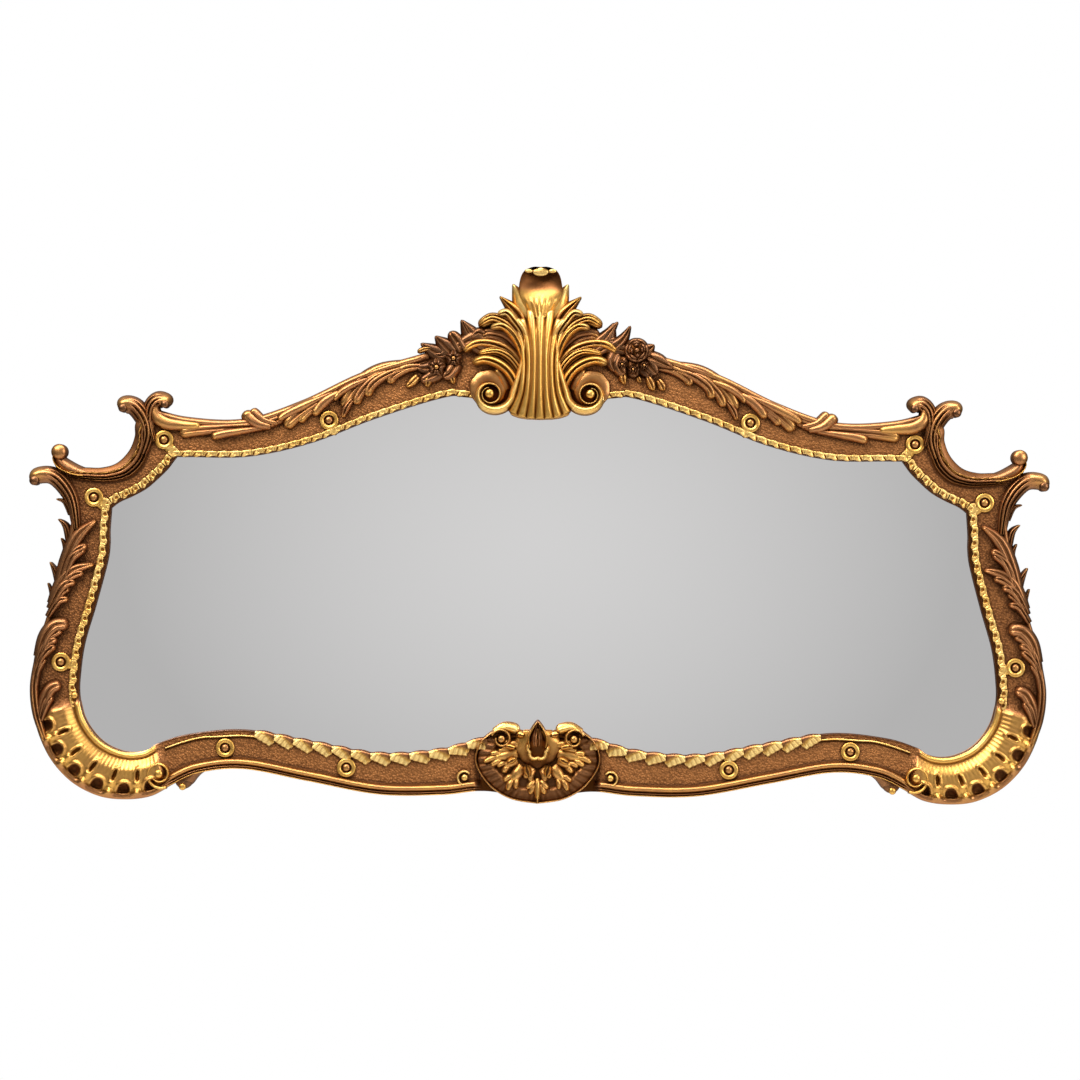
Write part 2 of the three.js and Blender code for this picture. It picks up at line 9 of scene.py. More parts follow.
import bpy
import numpy as np
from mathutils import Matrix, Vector

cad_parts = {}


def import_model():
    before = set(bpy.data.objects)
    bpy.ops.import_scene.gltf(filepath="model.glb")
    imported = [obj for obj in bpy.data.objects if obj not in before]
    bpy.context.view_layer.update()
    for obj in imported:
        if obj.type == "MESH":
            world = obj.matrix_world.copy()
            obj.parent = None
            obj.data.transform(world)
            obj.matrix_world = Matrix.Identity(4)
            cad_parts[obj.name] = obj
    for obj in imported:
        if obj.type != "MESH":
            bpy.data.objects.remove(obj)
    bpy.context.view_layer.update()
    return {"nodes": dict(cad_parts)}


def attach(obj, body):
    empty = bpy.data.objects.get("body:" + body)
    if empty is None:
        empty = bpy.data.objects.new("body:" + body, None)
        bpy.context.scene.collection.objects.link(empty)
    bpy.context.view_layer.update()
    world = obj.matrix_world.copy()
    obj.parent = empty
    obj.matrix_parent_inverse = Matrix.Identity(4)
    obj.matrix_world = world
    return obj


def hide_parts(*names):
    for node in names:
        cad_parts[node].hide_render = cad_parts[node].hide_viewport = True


# The plan's squares, in metres.
WIDTH, HEIGHT = 1.5, 0.79
PLAN_WIDTH, PLAN_HEIGHT = 1024, 539
SQUARE, RISE = WIDTH / PLAN_WIDTH, HEIGHT / PLAN_HEIGHT

# Depths in front of the wall, in millimetres.
LIP_BACK = 9.6
GROUND = 21.6
HORN_BACK = 5
OVERHANG_BACK = 12.6
LEAF_FOOT = GROUND - 3
# How wide the rebate behind the sight edge is, in millimetres.
REBATE = 9

# The halves of the plan. A form on the centre line is drawn once, as on the right.
LEFT, RIGHT, MIDDLE = -1, 1, 1
# The marks at each point of the carving, from 0 to 1: its gilding, its painted shade and its bare ground.
MARKS = ("gilt", "hollow", "ground")

# Rails as stations from the crest round to the cartouche: out, up on the outer edge, then on the sight edge.
RAILS = {
    "top": [
        (0, 204, 0, 135), (84, 194, 71, 142.5), (118, 186, 98, 142), (179, 167, 167, 120),
        (239, 138.5, 229, 96), (296, 120, 291, 82), (354, 121.5, 349, 81), (392, 131.5, 364, 81),
    ],
    "scroll": [
        (392, 131.5, 364, 81), (405, 115.5, 367, 77), (406, 101.5, 373, 69), (412, 86.5, 382, 60),
        (424, 74.5, 394, 49.5), (439, 70, 408, 41.5), (455, 70, 421, 35.5), (483, 70, 429, 29.5),
    ],
    "side": [
        (483, 70, 429, 29.5), (470, 25, 430.5, 7.5), (471, 2, 430.5, -7.5), (476, -25, 433, -25.5),
        (489, -67, 444, -67.5), (501, -108, 455.5, -108), (507, -151, 460, -145), (506, -174, 459.5, -163),
    ],
    "shell": [
        (506, -174, 459.5, -163), (500, -198, 455, -180), (487, -224, 446, -195),
        (466, -246, 434, -206.5), (439, -259.5, 419, -213.5), (412, -262.5, 405, -215.5),
        (387, -259, 392, -213), (367, -248, 382, -206.5),
    ],
    "bottom": [
        (367, -248, 382, -206.5), (339, -235.5, 351, -197), (294, -231.5, 295, -192),
        (231, -243, 231, -202.5), (159, -256, 161, -214.5), (96, -256, 99, -210.5), (50, -252, 52, -198),
        (0, -262, 0, -190),
    ],
}
# How finely a drawn rail is read, then the mm between its sections and the points across one.
RAIL_READ, RAIL_STEP, RAIL_ACROSS = 400, 1.9, 78
# How far the profiles of two rails blend to either side of where they meet, in mm.
BLEND = 9.0


def smooth(rows, steps):
    """Rows of numbers read off a smooth curve through the drawn rows."""
    rows = np.array(rows, float)
    place = np.linspace(0, len(rows) - 1, steps + 1)
    k = np.minimum(place.astype(int), len(rows) - 2)
    t = (place - k)[:, None]
    a, b, c, d = (rows[np.clip(k + j, 0, len(rows) - 1)] for j in (-1, 0, 1, 2))
    return b + 0.5 * ((c - a) * t + (2 * a - 5 * b + 4 * c - d) * t**2 + (3 * b - 3 * c + d - a) * t**3)


def step(x, low, high):
    """0 below low, 1 above high and smooth between."""
    t = np.clip((x - low) / (high - low), 0, 1)
    return t * t * (3 - 2 * t)


def bar(distance, centre, width, height):
    """A half-round moulding, seen across its length."""
    return height * np.sqrt(np.clip(1 - ((distance - centre) / (width / 2)) ** 2, 0, 1))


def dip(distance, centre, width):
    """1 at the centre of a trough, falling to 0 at its edges."""
    return np.clip(1 - ((distance - centre) / (width / 2)) ** 2, 0, 1)


def peak(x, centre, width):
    """1 at the centre, falling off smoothly to either side."""
    return np.exp(-(((x - centre) / width) ** 2))


def vary(n, low, rise):
    """A value that steps up over each three forms in turn, so that neighbours differ."""
    return low + rise * (n % 3)


def edged(mark, value=0, after=1):
    """A grid of marks with a column of one value before it and some after it."""
    return np.pad(mark, ((0, 0), (1, after)), constant_values=value)


class Carving:
    """Closed carved shapes of the left half or of the middle, gathered into one piece."""

    def __init__(self):
        self.points, self.faces, self.marks, self.count = [], [], [], 0

    def add(self, points, faces, marks):
        """A closed shape: points in metres, faces, and the marks gilt, painted shade and ground at each
        point.
        """
        volume = 0
        for a, b in ((1, 2), (2, 3)):
            sets = [(face[0], face[a], face[b]) for face in faces if len(face) > b]
            p, q, r = (points[[s[n] for s in sets]] for n in range(3))
            volume += np.einsum("ij,ij->i", p, np.cross(q, r)).sum()
        if volume < 0:
            faces = [face[::-1] for face in faces]
        self.points.append(points)
        self.faces += [[n + self.count for n in face] for face in faces]
        self.marks.append(marks)
        self.count += len(points)

    def loft(self, rings, gilt, hollow, ground=0.0, endless=False):
        """A skin over rings of equal count. An endless one closes on itself, any other gets closed ends."""
        rings = np.array(rings, float)
        n, m = rings.shape[:2]
        faces = []
        for i in range(n if endless else n - 1):
            near, far = i * m, ((i + 1) % n) * m
            faces += [[near + j, near + (j + 1) % m, far + (j + 1) % m, far + j] for j in range(m)]
        points = rings.reshape(-1, 3)
        marks = np.stack([np.broadcast_to(v, (n, m)).reshape(-1) for v in (gilt, hollow, ground)], 1)
        if not endless:
            ends = [rings[0].mean(0), rings[-1].mean(0)]
            points = np.vstack([points, ends])
            marks = np.vstack([marks, marks[0], marks[m * (n - 1)]])
            last = (n - 1) * m
            faces += [[n * m, (j + 1) % m, j] for j in range(m)]
            faces += [[n * m + 1, last + j, last + (j + 1) % m] for j in range(m)]
        self.add(points, faces, marks)

    def mirrored(self):
        """The same shapes on the right half."""
        other = Carving()
        other.points = [p * [-1, 1, 1] for p in self.points]
        other.faces = [face[::-1] for face in self.faces]
        other.marks, other.count = list(self.marks), self.count
        return other

    def join(self, other):
        """Takes in another carving's shapes."""
        self.faces += [[n + self.count for n in face] for face in other.faces]
        self.points += other.points
        self.marks += other.marks
        self.count += other.count
        return self

    def piece(self, name, material):
        """The mesh object of everything gathered."""
        mesh = bpy.data.meshes.new(name)
        mesh.from_pydata(np.vstack(self.points).tolist(), [], self.faces)
        marks = np.vstack(self.marks)
        for n, mark in enumerate(MARKS):
            mesh.attributes.new(mark, "FLOAT", "POINT").data.foreach_set("value", marks[:, n])
        mesh.polygons.foreach_set("use_smooth", [True] * len(mesh.polygons))
        mesh.materials.append(material)
        mesh.update()
        made = bpy.data.objects.new(name, mesh)
        bpy.context.scene.collection.objects.link(made)
        return made


def at(side, out, up, depth):
    """Points of the plan on one side, at depths in front of the wall, in metres."""
    out, up, depth = np.broadcast_arrays(out, up, depth)
    return np.stack([side * out * SQUARE, -depth / 1000, up * RISE], -1)


def stand(carving, side, out, up, depth, foot, gilt, hollow):
    """A closed shape that stands over a grid of the plan, from its foot to a depth at each point."""
    feet = [at(side, out[:, [k]], up[:, [k]], foot) for k in (0, -1)]
    carving.loft(np.concatenate([feet[0], at(side, out, up, depth), feet[1]], 1), gilt, hollow)


# Mouldings from the outer edge of each rail inwards: centre, width and height in mm, then the gilding.
RAIL_BARS = {
    "top": [(6.0, 12, 10, 0.46), (13.8, 3.2, 6, 0.42)],
    "scroll": [(12.0, 3.2, 10, 0.6), (16.8, 7.4, 11, 0.4), (22.6, 2.8, 8, 0.46), (27.4, 2.6, 6, 0.46)],
    "side": [(4.5, 9, 7, 0.42)],
    "bottom": [(1.4, 2.8, 7, 0.72), (4.6, 3.2, 5, 0.4), (11.4, 9.6, 8, 0.55)],
}
# How wide the bevel between the ribbon and the glass is, in mm, painted dark in shade, and how much
# painted shade darkens each rail's ground.
SIGHT_LIP = {"top": 1.5, "scroll": 3.5, "side": 4.5, "bottom": 1.0}
SHADE = {"top": 0.0, "scroll": 0.3, "side": 0.46, "bottom": 0.02}
# Where the top rail goes plain beneath the crest and the bottom rail sinks at the cartouche, in squares out.
UNDER_CREST = (122, 104)
UNDER_CARTOUCHE = (64, 56)
# The fingers of the shell corner: how many there are to its length, where the first is and how many show.
FINGERS, FIRST_FINGER, LAST_FINGER = 6.4, 0.185, 4
# The foot of the holes between the fingers, as a share of the way across, and how square their arches are.
HOLE_FOOT = 0.19
ARCH = 2.6


def rail_profile(kind, outer, inner, along, share, out):
    """Relief, gilt, painted shade and bareness of a rail, at distances in mm from its outer and its sight
    edge.
    """
    if kind == "shell":
        return shell_profile(outer, inner, along, share)
    bars = RAIL_BARS[kind]
    relief = sum(bar(outer, *shape) for *shape, _ in bars) - 7 * step(outer, 1.0, 0)
    gilt = sum(gold * (np.abs(outer - centre) < width / 2) for centre, width, _, gold in bars)
    # Painted shade in the groove on the inner side of each moulding.
    hollow = 0.8 * sum(dip(outer, centre + width / 2, 2.4) for centre, width, _, _ in bars)
    end = bars[-1][0] + bars[-1][1] / 2
    if kind == "scroll":
        # The scroll's cove is raised and gilded brighter, and painted in shade that deepens towards the outer
        # edge.
        cove = step(outer, 0.5, 2) * step(outer, 11.4, 10.4)
        relief, gilt = relief + (4 + 0.35 * outer) * cove, gilt + 0.2 * cove
        hollow = hollow + 0.15 * cove + 0.5 * cove * step(outer, 9, 2)
    lip = SIGHT_LIP[kind]
    bevel = step(inner, lip, 0)
    relief = relief + bar(inner, lip, 3, 1) * (1 - bevel) - 3 * bevel
    # Painted shade past the last moulding, on the bevel by the glass and over each rail's ground.
    hollow = np.clip(hollow + 0.8 * dip(outer, end + 1.5, 7) + 0.9 * (inner < lip) + SHADE[kind], 0, 1)
    bare = step(outer, end, end + 3) * step(inner, lip, lip + 1)
    if kind == "top":
        plain = step(out, *UNDER_CREST)
        relief, gilt, bare = relief * (1 - plain), gilt * (1 - plain), np.maximum(bare, plain)
    if kind == "bottom":
        under = step(out, *UNDER_CARTOUCHE)
        relief, gilt = relief * (1 - under) - 5 * under, gilt * (1 - under)
        # Beneath the cartouche the sunk rail is painted in full shade.
        hollow = np.maximum(hollow, under)
    return relief, np.clip(gilt, 0, 1), hollow, bare


def shell_profile(outer, inner, along, share):
    """The shell corner: slotted fingers that fan out to knobs on a plain rim.

    Arched holes lie between the fingers. The holes, slots and flutes, the gaps between the knobs and a line
    by the sight edge are painted in shade, the holes also with duller gilding. A place on the corner is a
    share of the way along it and across it.
    """
    phase = (along - FIRST_FINGER) * FINGERS
    shown = step(phase, -0.95, -0.75) * step(phase, LAST_FINGER + 0.8, LAST_FINGER + 0.6)
    off = np.abs(phase - np.round(phase))
    height = (share - HOLE_FOOT) / np.where(share > HOLE_FOOT, 0.15, 0.05)
    hole = (np.abs((0.5 - off) / 0.2) ** ARCH + np.abs(height) ** ARCH) ** (1 / ARCH)
    slot = np.sqrt((off / 0.085) ** 2 + ((share - 0.51) / 0.12) ** 2)
    knob = peak(off, 0, 0.15) * peak(share, 0.15, 0.07)
    neck = peak(off, 0, 0.2) * step(share, 0.1, 0.16) * step(share, 0.42, 0.3)
    fan = (0.5 - 0.5 * np.cos(2 * math.pi * (phase * 5 + 0.5))) ** 2
    fan = fan * step(share, 0.42, 0.6) * step(share, 0.86, 0.8) * step(slot, 1.3, 1.8)
    rims = 4.5 * peak(hole, 1.3, 0.22) + 2.5 * peak(slot, 1.4, 0.3)
    relief = 2 + 9 * step(share, 0.14, 0.45) * step(share, 0.92, 0.6) + shown * rims
    relief = relief + shown * (8 * knob + 5 * neck)
    relief = relief - shown * (3.2 * step(hole, 1.2, 0.5) + 6 * step(slot, 1.15, 0.6)) - 0.6 * fan
    relief = relief + bar(outer, 5, 10, 4.5) + bar(inner, 4.6, 8.4, 5) - 8 * step(outer, 1, 0)
    # Painted shade in the holes, slots and flutes, by the sight edge and between the knobs.
    hollow = shown * (0.4 * step(hole, 1.15, 0.6) + 0.9 * step(slot, 1.15, 0.8)) + 0.3 * fan
    hollow = hollow + 0.8 * dip(inner, 10, 4) + shown * dip(outer, 11, 5) * (1 - knob)
    hollow = hollow + 0.35 * shown * peak(hole, 1.75, 0.2)
    gilt = 0.48 + 0.2 * step(share, 0.1, 0.2) * (0.5 + 0.5 * shown) - 0.25 * shown * step(hole, 1.2, 0.9)
    gilt = gilt + 0.15 * bar(inner, 4.6, 8.4, 1) + 0.12 * shown * np.maximum(knob, neck)
    return relief, gilt, np.clip(hollow, 0, 1), 0 * relief


def blend_weights(position, lengths):
    """Where each rail starts, and how much its profile counts at places along the whole run, in mm."""
    starts = np.concatenate([[0], np.cumsum(lengths)])
    weights = []
    for n in range(len(lengths)):
        weight = np.ones_like(position)
        if n > 0:
            weight *= step(position, starts[n] - BLEND, starts[n] + BLEND)
        if n < len(lengths) - 1:
            weight *= step(position, starts[n + 1] + BLEND, starts[n + 1] - BLEND)
        weights.append(weight)
    total = sum(weights)
    return starts, [w / total for w in weights]


def rails():
    """The left half of the rails as one closed shape, from the crest to the cartouche."""
    runs, lengths = [], []
    for rows in RAILS.values():
        fine = smooth(rows, RAIL_READ)
        way = np.diff((fine[:, :2] + fine[:, 2:]) / 2, axis=0) * SQUARE * 1000
        length = np.concatenate([[0], np.cumsum(np.hypot(*way.T))])
        even = np.linspace(0, length[-1], round(length[-1] / RAIL_STEP) + 1)
        runs.append(np.stack([np.interp(even, length, fine[:, k]) for k in range(4)], 1))
        lengths.append(length[-1])
    stations = np.vstack([runs[0]] + [run[1:] for run in runs[1:]])
    position = np.concatenate([[0]] + [
        sum(lengths[:k]) + np.linspace(0, lengths[k], len(runs[k]))[1:] for k in range(len(runs))
    ])
    # Points across a rail lie closer together at its two edges.
    share = 0.5 - 0.5 * np.cos(np.linspace(0, math.pi, RAIL_ACROSS))
    share = 0.5 * share + 0.5 * np.linspace(0, 1, RAIL_ACROSS)
    edge, sight = stations[:, :2], stations[:, 2:]
    out, up = (edge[:, [k]] + (sight - edge)[:, [k]] * share for k in (0, 1))
    broad = np.hypot(*((sight - edge) * [SQUARE, RISE]).T)[:, None] * 1000
    outer, inner = broad * share, broad * (1 - share)
    starts, weights = blend_weights(position, lengths)
    relief, gilt, hollow, ground = (np.zeros_like(out) for _ in range(4))
    for n, kind in enumerate(RAILS):
        along = ((position - starts[n]) / lengths[n])[:, None] + 0 * share
        parts = rail_profile(kind, outer, inner, along, share + 0 * outer, out)
        for total, part in zip((relief, gilt, hollow, ground), parts):
            total += part * weights[n][:, None]
    way = edge - sight
    inset = sight + way / np.linalg.norm(way, axis=1, keepdims=True) * REBATE / (SQUARE * 1000)
    corners = ((edge, 0.0), (sight, LIP_BACK), (inset, LIP_BACK), (inset, 0.0))
    back, lip, rebate, foot = (at(LEFT, *place.T, depth)[:, None] for place, depth in corners)
    rings = np.concatenate([back, at(LEFT, out, up, GROUND + relief), lip, rebate, foot], 1)
    carving = Carving()
    # The back, the lip and the rebate take dull gilding and painted shade.
    carving.loft(rings, edged(gilt, 0.1, 3), edged(hollow, 0.6, 3), edged(ground, 0, 3))
    return carving, stations, position, lengths


def leaf(
    carving, side, rows, relief=14.0, foot=LEAF_FOOT, gilt=0.5, flutes=1, steps=20, across=17, curl=0.2,
    spread=1.0, level=False, dark=0.0, fade=0.6,
):
    """A carved leaf end, which may be fluted and curls up at its round tip.

    Its rows are out, up and half width along its spine. It rises by relief over the ground, from a foot in
    front of the wall, in mm. Gilt goes from 0 for dark bronze to 1 for pale gold, and dark adds painted
    shade.
    A level one neither swells nor curls. Fade is how far the flutes die away towards the tip.
    """
    run = smooth(rows, steps)
    way = np.gradient(run[:, :2], axis=0)
    way /= np.linalg.norm(way, axis=1, keepdims=True)
    travelled = np.concatenate([[0], np.cumsum(np.linalg.norm(np.diff(run[:, :2], axis=0), axis=1))])
    rest = travelled[-1] - travelled
    radius = max(run[-1, 2] * 1.2, 0.01)
    roundness = np.sqrt(np.clip(1 - np.clip(1 - rest / radius, 0, 1) ** 2, 0.004, 1))
    s = np.linspace(0, 1, steps + 1)
    swell = 0.5 + 0.42 * np.sin(np.pi * np.clip(0.1 + 0.85 * s, 0, 1)) + curl * peak(s, 0.9, 0.13)
    if level:
        swell = 1 + 0 * s
    v = np.linspace(1, -1, across)
    dome = np.sqrt(1 - 0.9 * v**2) * (1 + 0.12 * v * (flutes > 0))
    cut = 1 - fade * step(s, 1.15 - 0.72 * fade, 1.25 - 0.5 * fade)[:, None]
    groove = (0.5 + 0.5 * np.cos(2 * np.pi * flutes * v)) ** 3 * cut if flutes else 0 * v * cut
    section = dome * (1 - 0.3 * groove)
    top = GROUND + relief * swell * (0.25 + 0.75 * roundness)
    depth = foot + (top - foot)[:, None] * (0.2 + 0.8 * section)
    offset = (run[:, 2] * roundness * spread)[:, None] * v
    out = run[:, [0]] - way[:, [1]] * offset
    up = run[:, [1]] + way[:, [0]] * offset
    # Painted shade on the lower side, in the flutes, along the edges and at the root, with dark on top.
    lower = 0.3 * step(-v, -0.2, 0.9) * (flutes > 0)
    hollow = 0.7 * groove * (np.abs(v) < 0.9) + lower + 0.9 * step(np.abs(v), 0.8, 1.0) + dark
    hollow = hollow + (0.4 * (1 - step(s, 0, 0.25)) * (not level))[:, None]
    # A painted highlight brightens the gilding on the ridges and towards the tip.
    ridge = edged(dome * (1 - groove))
    brighter = np.clip(gilt * (0.88 + 0.2 * ridge) + 0.14 * (step(s, 0.6, 1) * (not level))[:, None], 0, 1)
    stand(carving, side, out, up, depth, foot, brighter, edged(np.clip(hollow, 0, 1), 1))


def band(carving, side, rows, relief, foot, gilt, steps, across=7, dark=0.0):
    """A smooth level band along a line drawn as a leaf's spine is."""
    leaf(carving, side, rows, relief, foot, gilt, flutes=0, steps=steps, across=across, level=True, dark=dark)


def boss(carving, side, centre, rings, gilt, hollow, count=28, lobes=0, lobe=0.0, squeeze=1.0):
    """A round boss about a point of the plan, lobed if asked.

    A ring is a radius in squares and a depth in mm. Each ring has its painted shade.
    """
    angle = np.linspace(0, 2 * np.pi, count, endpoint=False)
    wave = 1 + lobe * (np.abs(np.sin(lobes * angle / 2)) - 0.5) * 2
    made = []
    for radius, depth in rings:
        r = radius * wave
        made.append(at(side, centre[0] + r * np.cos(angle), centre[1] + squeeze * r * np.sin(angle), depth))
    carving.loft(made, gilt, np.array(hollow, float)[:, None])


# Angles up a dome, from its foot nearly to its top, and the shade of a knob's rings.
DOME = np.linspace(0, math.pi / 2 * 0.97, 7)
KNOB_SHADE = (1.0, 0.8, 0.5, 0.3, 0.1, 0, 0, 0)


def ball(carving, side, knob, back, top, gilt):
    """A rounded knob, as out, up and radius, that stands up from a depth."""
    *centre, radius = knob
    rings = [(radius, back)] + [(radius * math.cos(a), top - radius * 0.9 * (1 - math.sin(a))) for a in DOME]
    boss(carving, side, centre, rings, gilt, KNOB_SHADE)


# Each horn ends in an eye. The neck bears a knob and a bright line.
HORNS = [
    [(398, 84, 6), (393, 102, 8), (396, 118, 9.5), (406, 131, 9.5), (416, 133, 9), (422, 129, 7.5)],
    [(386, 96, 3), (391, 115, 6), (390, 130, 8), (383, 138, 8.5), (375, 137, 8), (371, 132, 6)],
    [(463, 8, 5), (467, 34, 7.5), (475, 50, 9), (487, 61, 9), (500, 62, 8.5), (510.5, 57, 7.5)],
]
HORN_EYES = [(417, 129.5, 4.5), (375, 133.5, 4), (505, 56.5, 5)]
HORN_KNOB = (480.6, 85.2, 7.9)
HORN_NECK = [(446, 63, 4), (462, 65, 7), (474, 70, 8), (481, 77, 6.5), (483, 84, 4)]
HORN_LINE = [
    (456, 61.6, 0.9), (463, 62.2, 1.1), (475, 66, 1.1), (483.2, 71.3, 1.1), (486.4, 77, 1),
    (486.6, 81, 0.8),
]
HORN_TAIL = [(386, 134, 5), (384, 122, 7), (374, 115, 7), (358, 113, 6), (338, 112, 4)]
# How high the horns and their knobs stand over the ground, in mm.
HORN_RISE = 15


def horns(carving):
    """The horned scrolls of the upper corner, each ending in a rounded knob."""
    for rows in HORNS:
        leaf(carving, LEFT, rows, HORN_RISE, HORN_BACK, 0.44, 2, steps=36, across=33, curl=0.22, fade=1.0)
    for knob in HORN_EYES:
        ball(carving, LEFT, knob, HORN_BACK, GROUND + HORN_RISE, 0.12)
    leaf(carving, LEFT, HORN_NECK, 11, HORN_BACK, 0.3, flutes=0, steps=28, curl=0)
    band(carving, LEFT, HORN_LINE, 13.5, HORN_BACK, 0.75, steps=44)
    ball(carving, LEFT, HORN_KNOB, HORN_BACK, GROUND + HORN_RISE, 0.48)
    leaf(carving, LEFT, HORN_TAIL, 14, flutes=0, steps=24)


SPIKES = [
    [(470, 23, 3), (476, 35, 2.5), (484, 38, 1)],
    [(470, -8, 4.5), (474, 10, 4), (482, 18, 1)],
    [(473, -22, 4), (475, -10, 3), (479, -1, 1)],
    [(480, -52, 4.5), (483, -38, 4.5), (490, -25, 1.2)],
    [(486, -67, 4), (488, -57, 3), (492, -46, 1)],
]
SIDE_PLUMES = [
    [(481, -52, 4), (473, -23, 5), (461, 2, 5), (443, 17, 1.5)],
    [(479, -52, 3), (471, -27, 4), (462, -13, 4), (452, -8, 2.5)],
    [(474, -37, 3), (468, -22, 4), (460, -15, 3.5), (454, -12, 2.5)],
    [(487, -67, 4), (477, -44, 5), (464, -32, 4.5), (445, -27, 1.5)],
    [(483, -62, 3), (473, -44, 3.5), (463, -37, 3.5), (455, -36, 2.5)],
    [(489, -72, 3), (480, -54, 4), (472, -46, 4), (463, -45, 3)],
    [(489, -72, 2.5), (482, -62, 3), (475, -54, 3), (469, -51, 2.5)],
    [(491, -80, 2.5), (485, -70, 3), (479, -63, 3.5), (470, -62, 2.5)],
    [(500, -120, 4), (494, -100, 5), (483, -88, 5.5), (470, -88, 4.5)],
    [(500, -123, 3), (494, -107, 4), (486, -97, 4), (476, -93, 3)],
    [(502, -135, 3), (498, -118, 4), (491, -106, 4), (481, -102, 3)],
    [(502, -133, 2.5), (497, -121, 3), (490, -113, 3.5), (483, -108, 2.5)],
    [(504, -153, 3), (502, -135, 3.5), (497, -125, 3.5), (492, -122, 2.5)],
    [(498, -180, 4), (494, -163, 5), (487, -151, 5), (477, -148, 4)],
    [(498, -184, 3), (494, -171, 4), (490, -163, 4), (485, -159, 3)],
]
SIDE_STEM = [(501, -123, 4), (504, -150, 5), (501, -178, 5), (492, -206, 3.5)]
TOP_LEAVES = [
    [(239, 129, 2.5), (277, 113.5, 4.5), (314, 110, 4), (343, 107.5, 4.5), (361, 104, 4)],
    [(277, 110.5, 2), (301, 107, 3), (317, 104.5, 3.5), (329, 101, 3)],
    [(269, 111.5, 2.5), (282, 114.5, 4), (291, 121, 4.5), (296, 127, 4)],
    [(262, 115, 2), (276, 118, 3), (285, 125, 3.5), (289, 129, 3)],
    [(194, 154, 2.5), (224, 136, 4.5), (242, 124, 5), (255, 111, 4.5)],
    [(208, 146, 1.5), (234, 134, 3.5), (254, 124, 3.5), (262, 118, 2)],
    [(194, 149, 2), (217, 136, 3.5), (232, 127, 4), (241, 116, 3)],
    [(190, 150, 2), (207, 143, 3.5), (219, 134, 4), (227, 123, 3)],
    [(172, 160, 2), (187, 154, 3), (200, 146, 3), (206, 138, 2)],
    [(124, 177, 2.5), (159, 170, 4.5), (184, 153, 5), (197, 131, 4.5)],
    [(141, 170, 2), (163, 162, 3.5), (178, 148, 4), (185, 134, 3.5)],
    [(131, 172, 2), (152, 165, 3.5), (168, 154, 4), (173, 142, 3.5)],
    [(114, 173, 2), (133, 171, 4), (147, 163, 4), (150, 155, 3.5)],
    [(187, 140, 2), (194, 130, 3), (197, 121, 1.5)],
]
# Which of the top leaves are smooth straps, and how much broader than drawn the rails' leaves are.
TOP_STRAPS = (1, 2, 3, 5, 7, 8)
RAIL_SPREAD = 1.45


def rail_leaves(carving):
    """The plumes of the side rail and the leaves that trail along the top rail."""
    for rows in SPIKES:
        leaf(carving, LEFT, rows, 3, HORN_BACK, 0.4)
    leaf(carving, LEFT, SIDE_STEM, 13, GROUND - 6, 0.42, steps=30)
    for n, rows in enumerate(SIDE_PLUMES):
        leaf(carving, LEFT, rows, vary(n, 13, 1.2), gilt=0.32, spread=RAIL_SPREAD)
    for n, rows in enumerate(TOP_LEAVES):
        plain = n in TOP_STRAPS
        rise = vary(n, 11, 1.2) + 2 * plain
        leaf(carving, LEFT, rows, rise, gilt=0.44, flutes=1 - plain, spread=RAIL_SPREAD)


STUDS = [(376, 98), (211, 118.5), (446, 40), (478, -125), (313, -210), (191.5, -229)]
# The ends of the necks of the first four studs, and how far out from a stud's centre its neck starts.
STUD_NECKS = [(365, 82), (205, 104), (431, 27), (461, -129)]
NECK_START = 6.2
# A stud from its foot in to its button: radius in squares, mm over the ground, gilding and shade.
STUD_RINGS = [
    (9.6, -1, 0.7, 1), (9.6, 2.8, 0.76, 0.7), (9.0, 3.7, 0.82, 0.1), (5.6, 4, 0.84, 0), (5.0, 0.6, 0.3, 1),
    (4, 0.6, 0.3, 1), (3.6, 3.6, 0.4, 0.5), (2.6, 5, 0.5, 0), (1.1, 5.5, 0.6, 0),
]


def studs(carving):
    """Flat gilt rings with a round button in a groove painted dark in shade, joined to the sight edge by a
    neck.
    """
    rings = [(radius, GROUND + rise) for radius, rise, _, _ in STUD_RINGS]
    gilt, shade = np.array(STUD_RINGS)[:, 2:].T
    for centre in STUDS:
        boss(carving, LEFT, centre, rings, gilt[:, None], shade, count=36)
    for centre, neck in zip(STUDS, STUD_NECKS):
        way = np.subtract(neck, centre) / np.linalg.norm(np.subtract(neck, centre))
        start = np.array(centre) + NECK_START * way
        band(carving, LEFT, [(*start, 5.5), (*neck, 4.5)], 3.6, GROUND - 1, 0.8, steps=6, across=17)


# The drop beneath the bottom rail, then its bulb, its ball and the ball by the side ribbon: out, up and
# radius, then back, top and gilding.
DROP_SCROLL = [(331, -229, 3), (341, -233, 5.5), (350, -239, 8.5), (357.5, -247.5, 8)]
BALLS = [
    ((354.5, -242.6, 9), HORN_BACK, GROUND + 2, 0.14),
    ((355.5, -249, 3.7), HORN_BACK, GROUND + 4, 0.78),
    ((464, -158.3, 3.2), GROUND - 2, GROUND + 9, 0.82),
]
# The bright fillet on the glass edge of the bottom rail, and how far beneath it the painted shadow line lies.
EDGE_FILLET = [
    (373, -210.5, 0.9), (354.3, -204, 1.1), (337, -199.7, 1.1), (322, -198.8, 1.1), (298, -197.5, 1.1),
    (279, -199, 1),
]
FILLET_DROP = 2
# The scrolls that end the bottom rail and the shell: centre, then radius and half width a quarter turn.
RAIL_CURL = ((73, -238), [(8, 1.5), (7, 1.5), (6.4, 1.5), (6, 1.3)])
SHELL_CURL = ((379, -236), [(15, 2.2), (11.5, 2.2), (10, 2), (9.5, 1.8), (8.5, 1.6), (7, 1.4)])
# The angle at which both start, in degrees.
CURL_START = 60


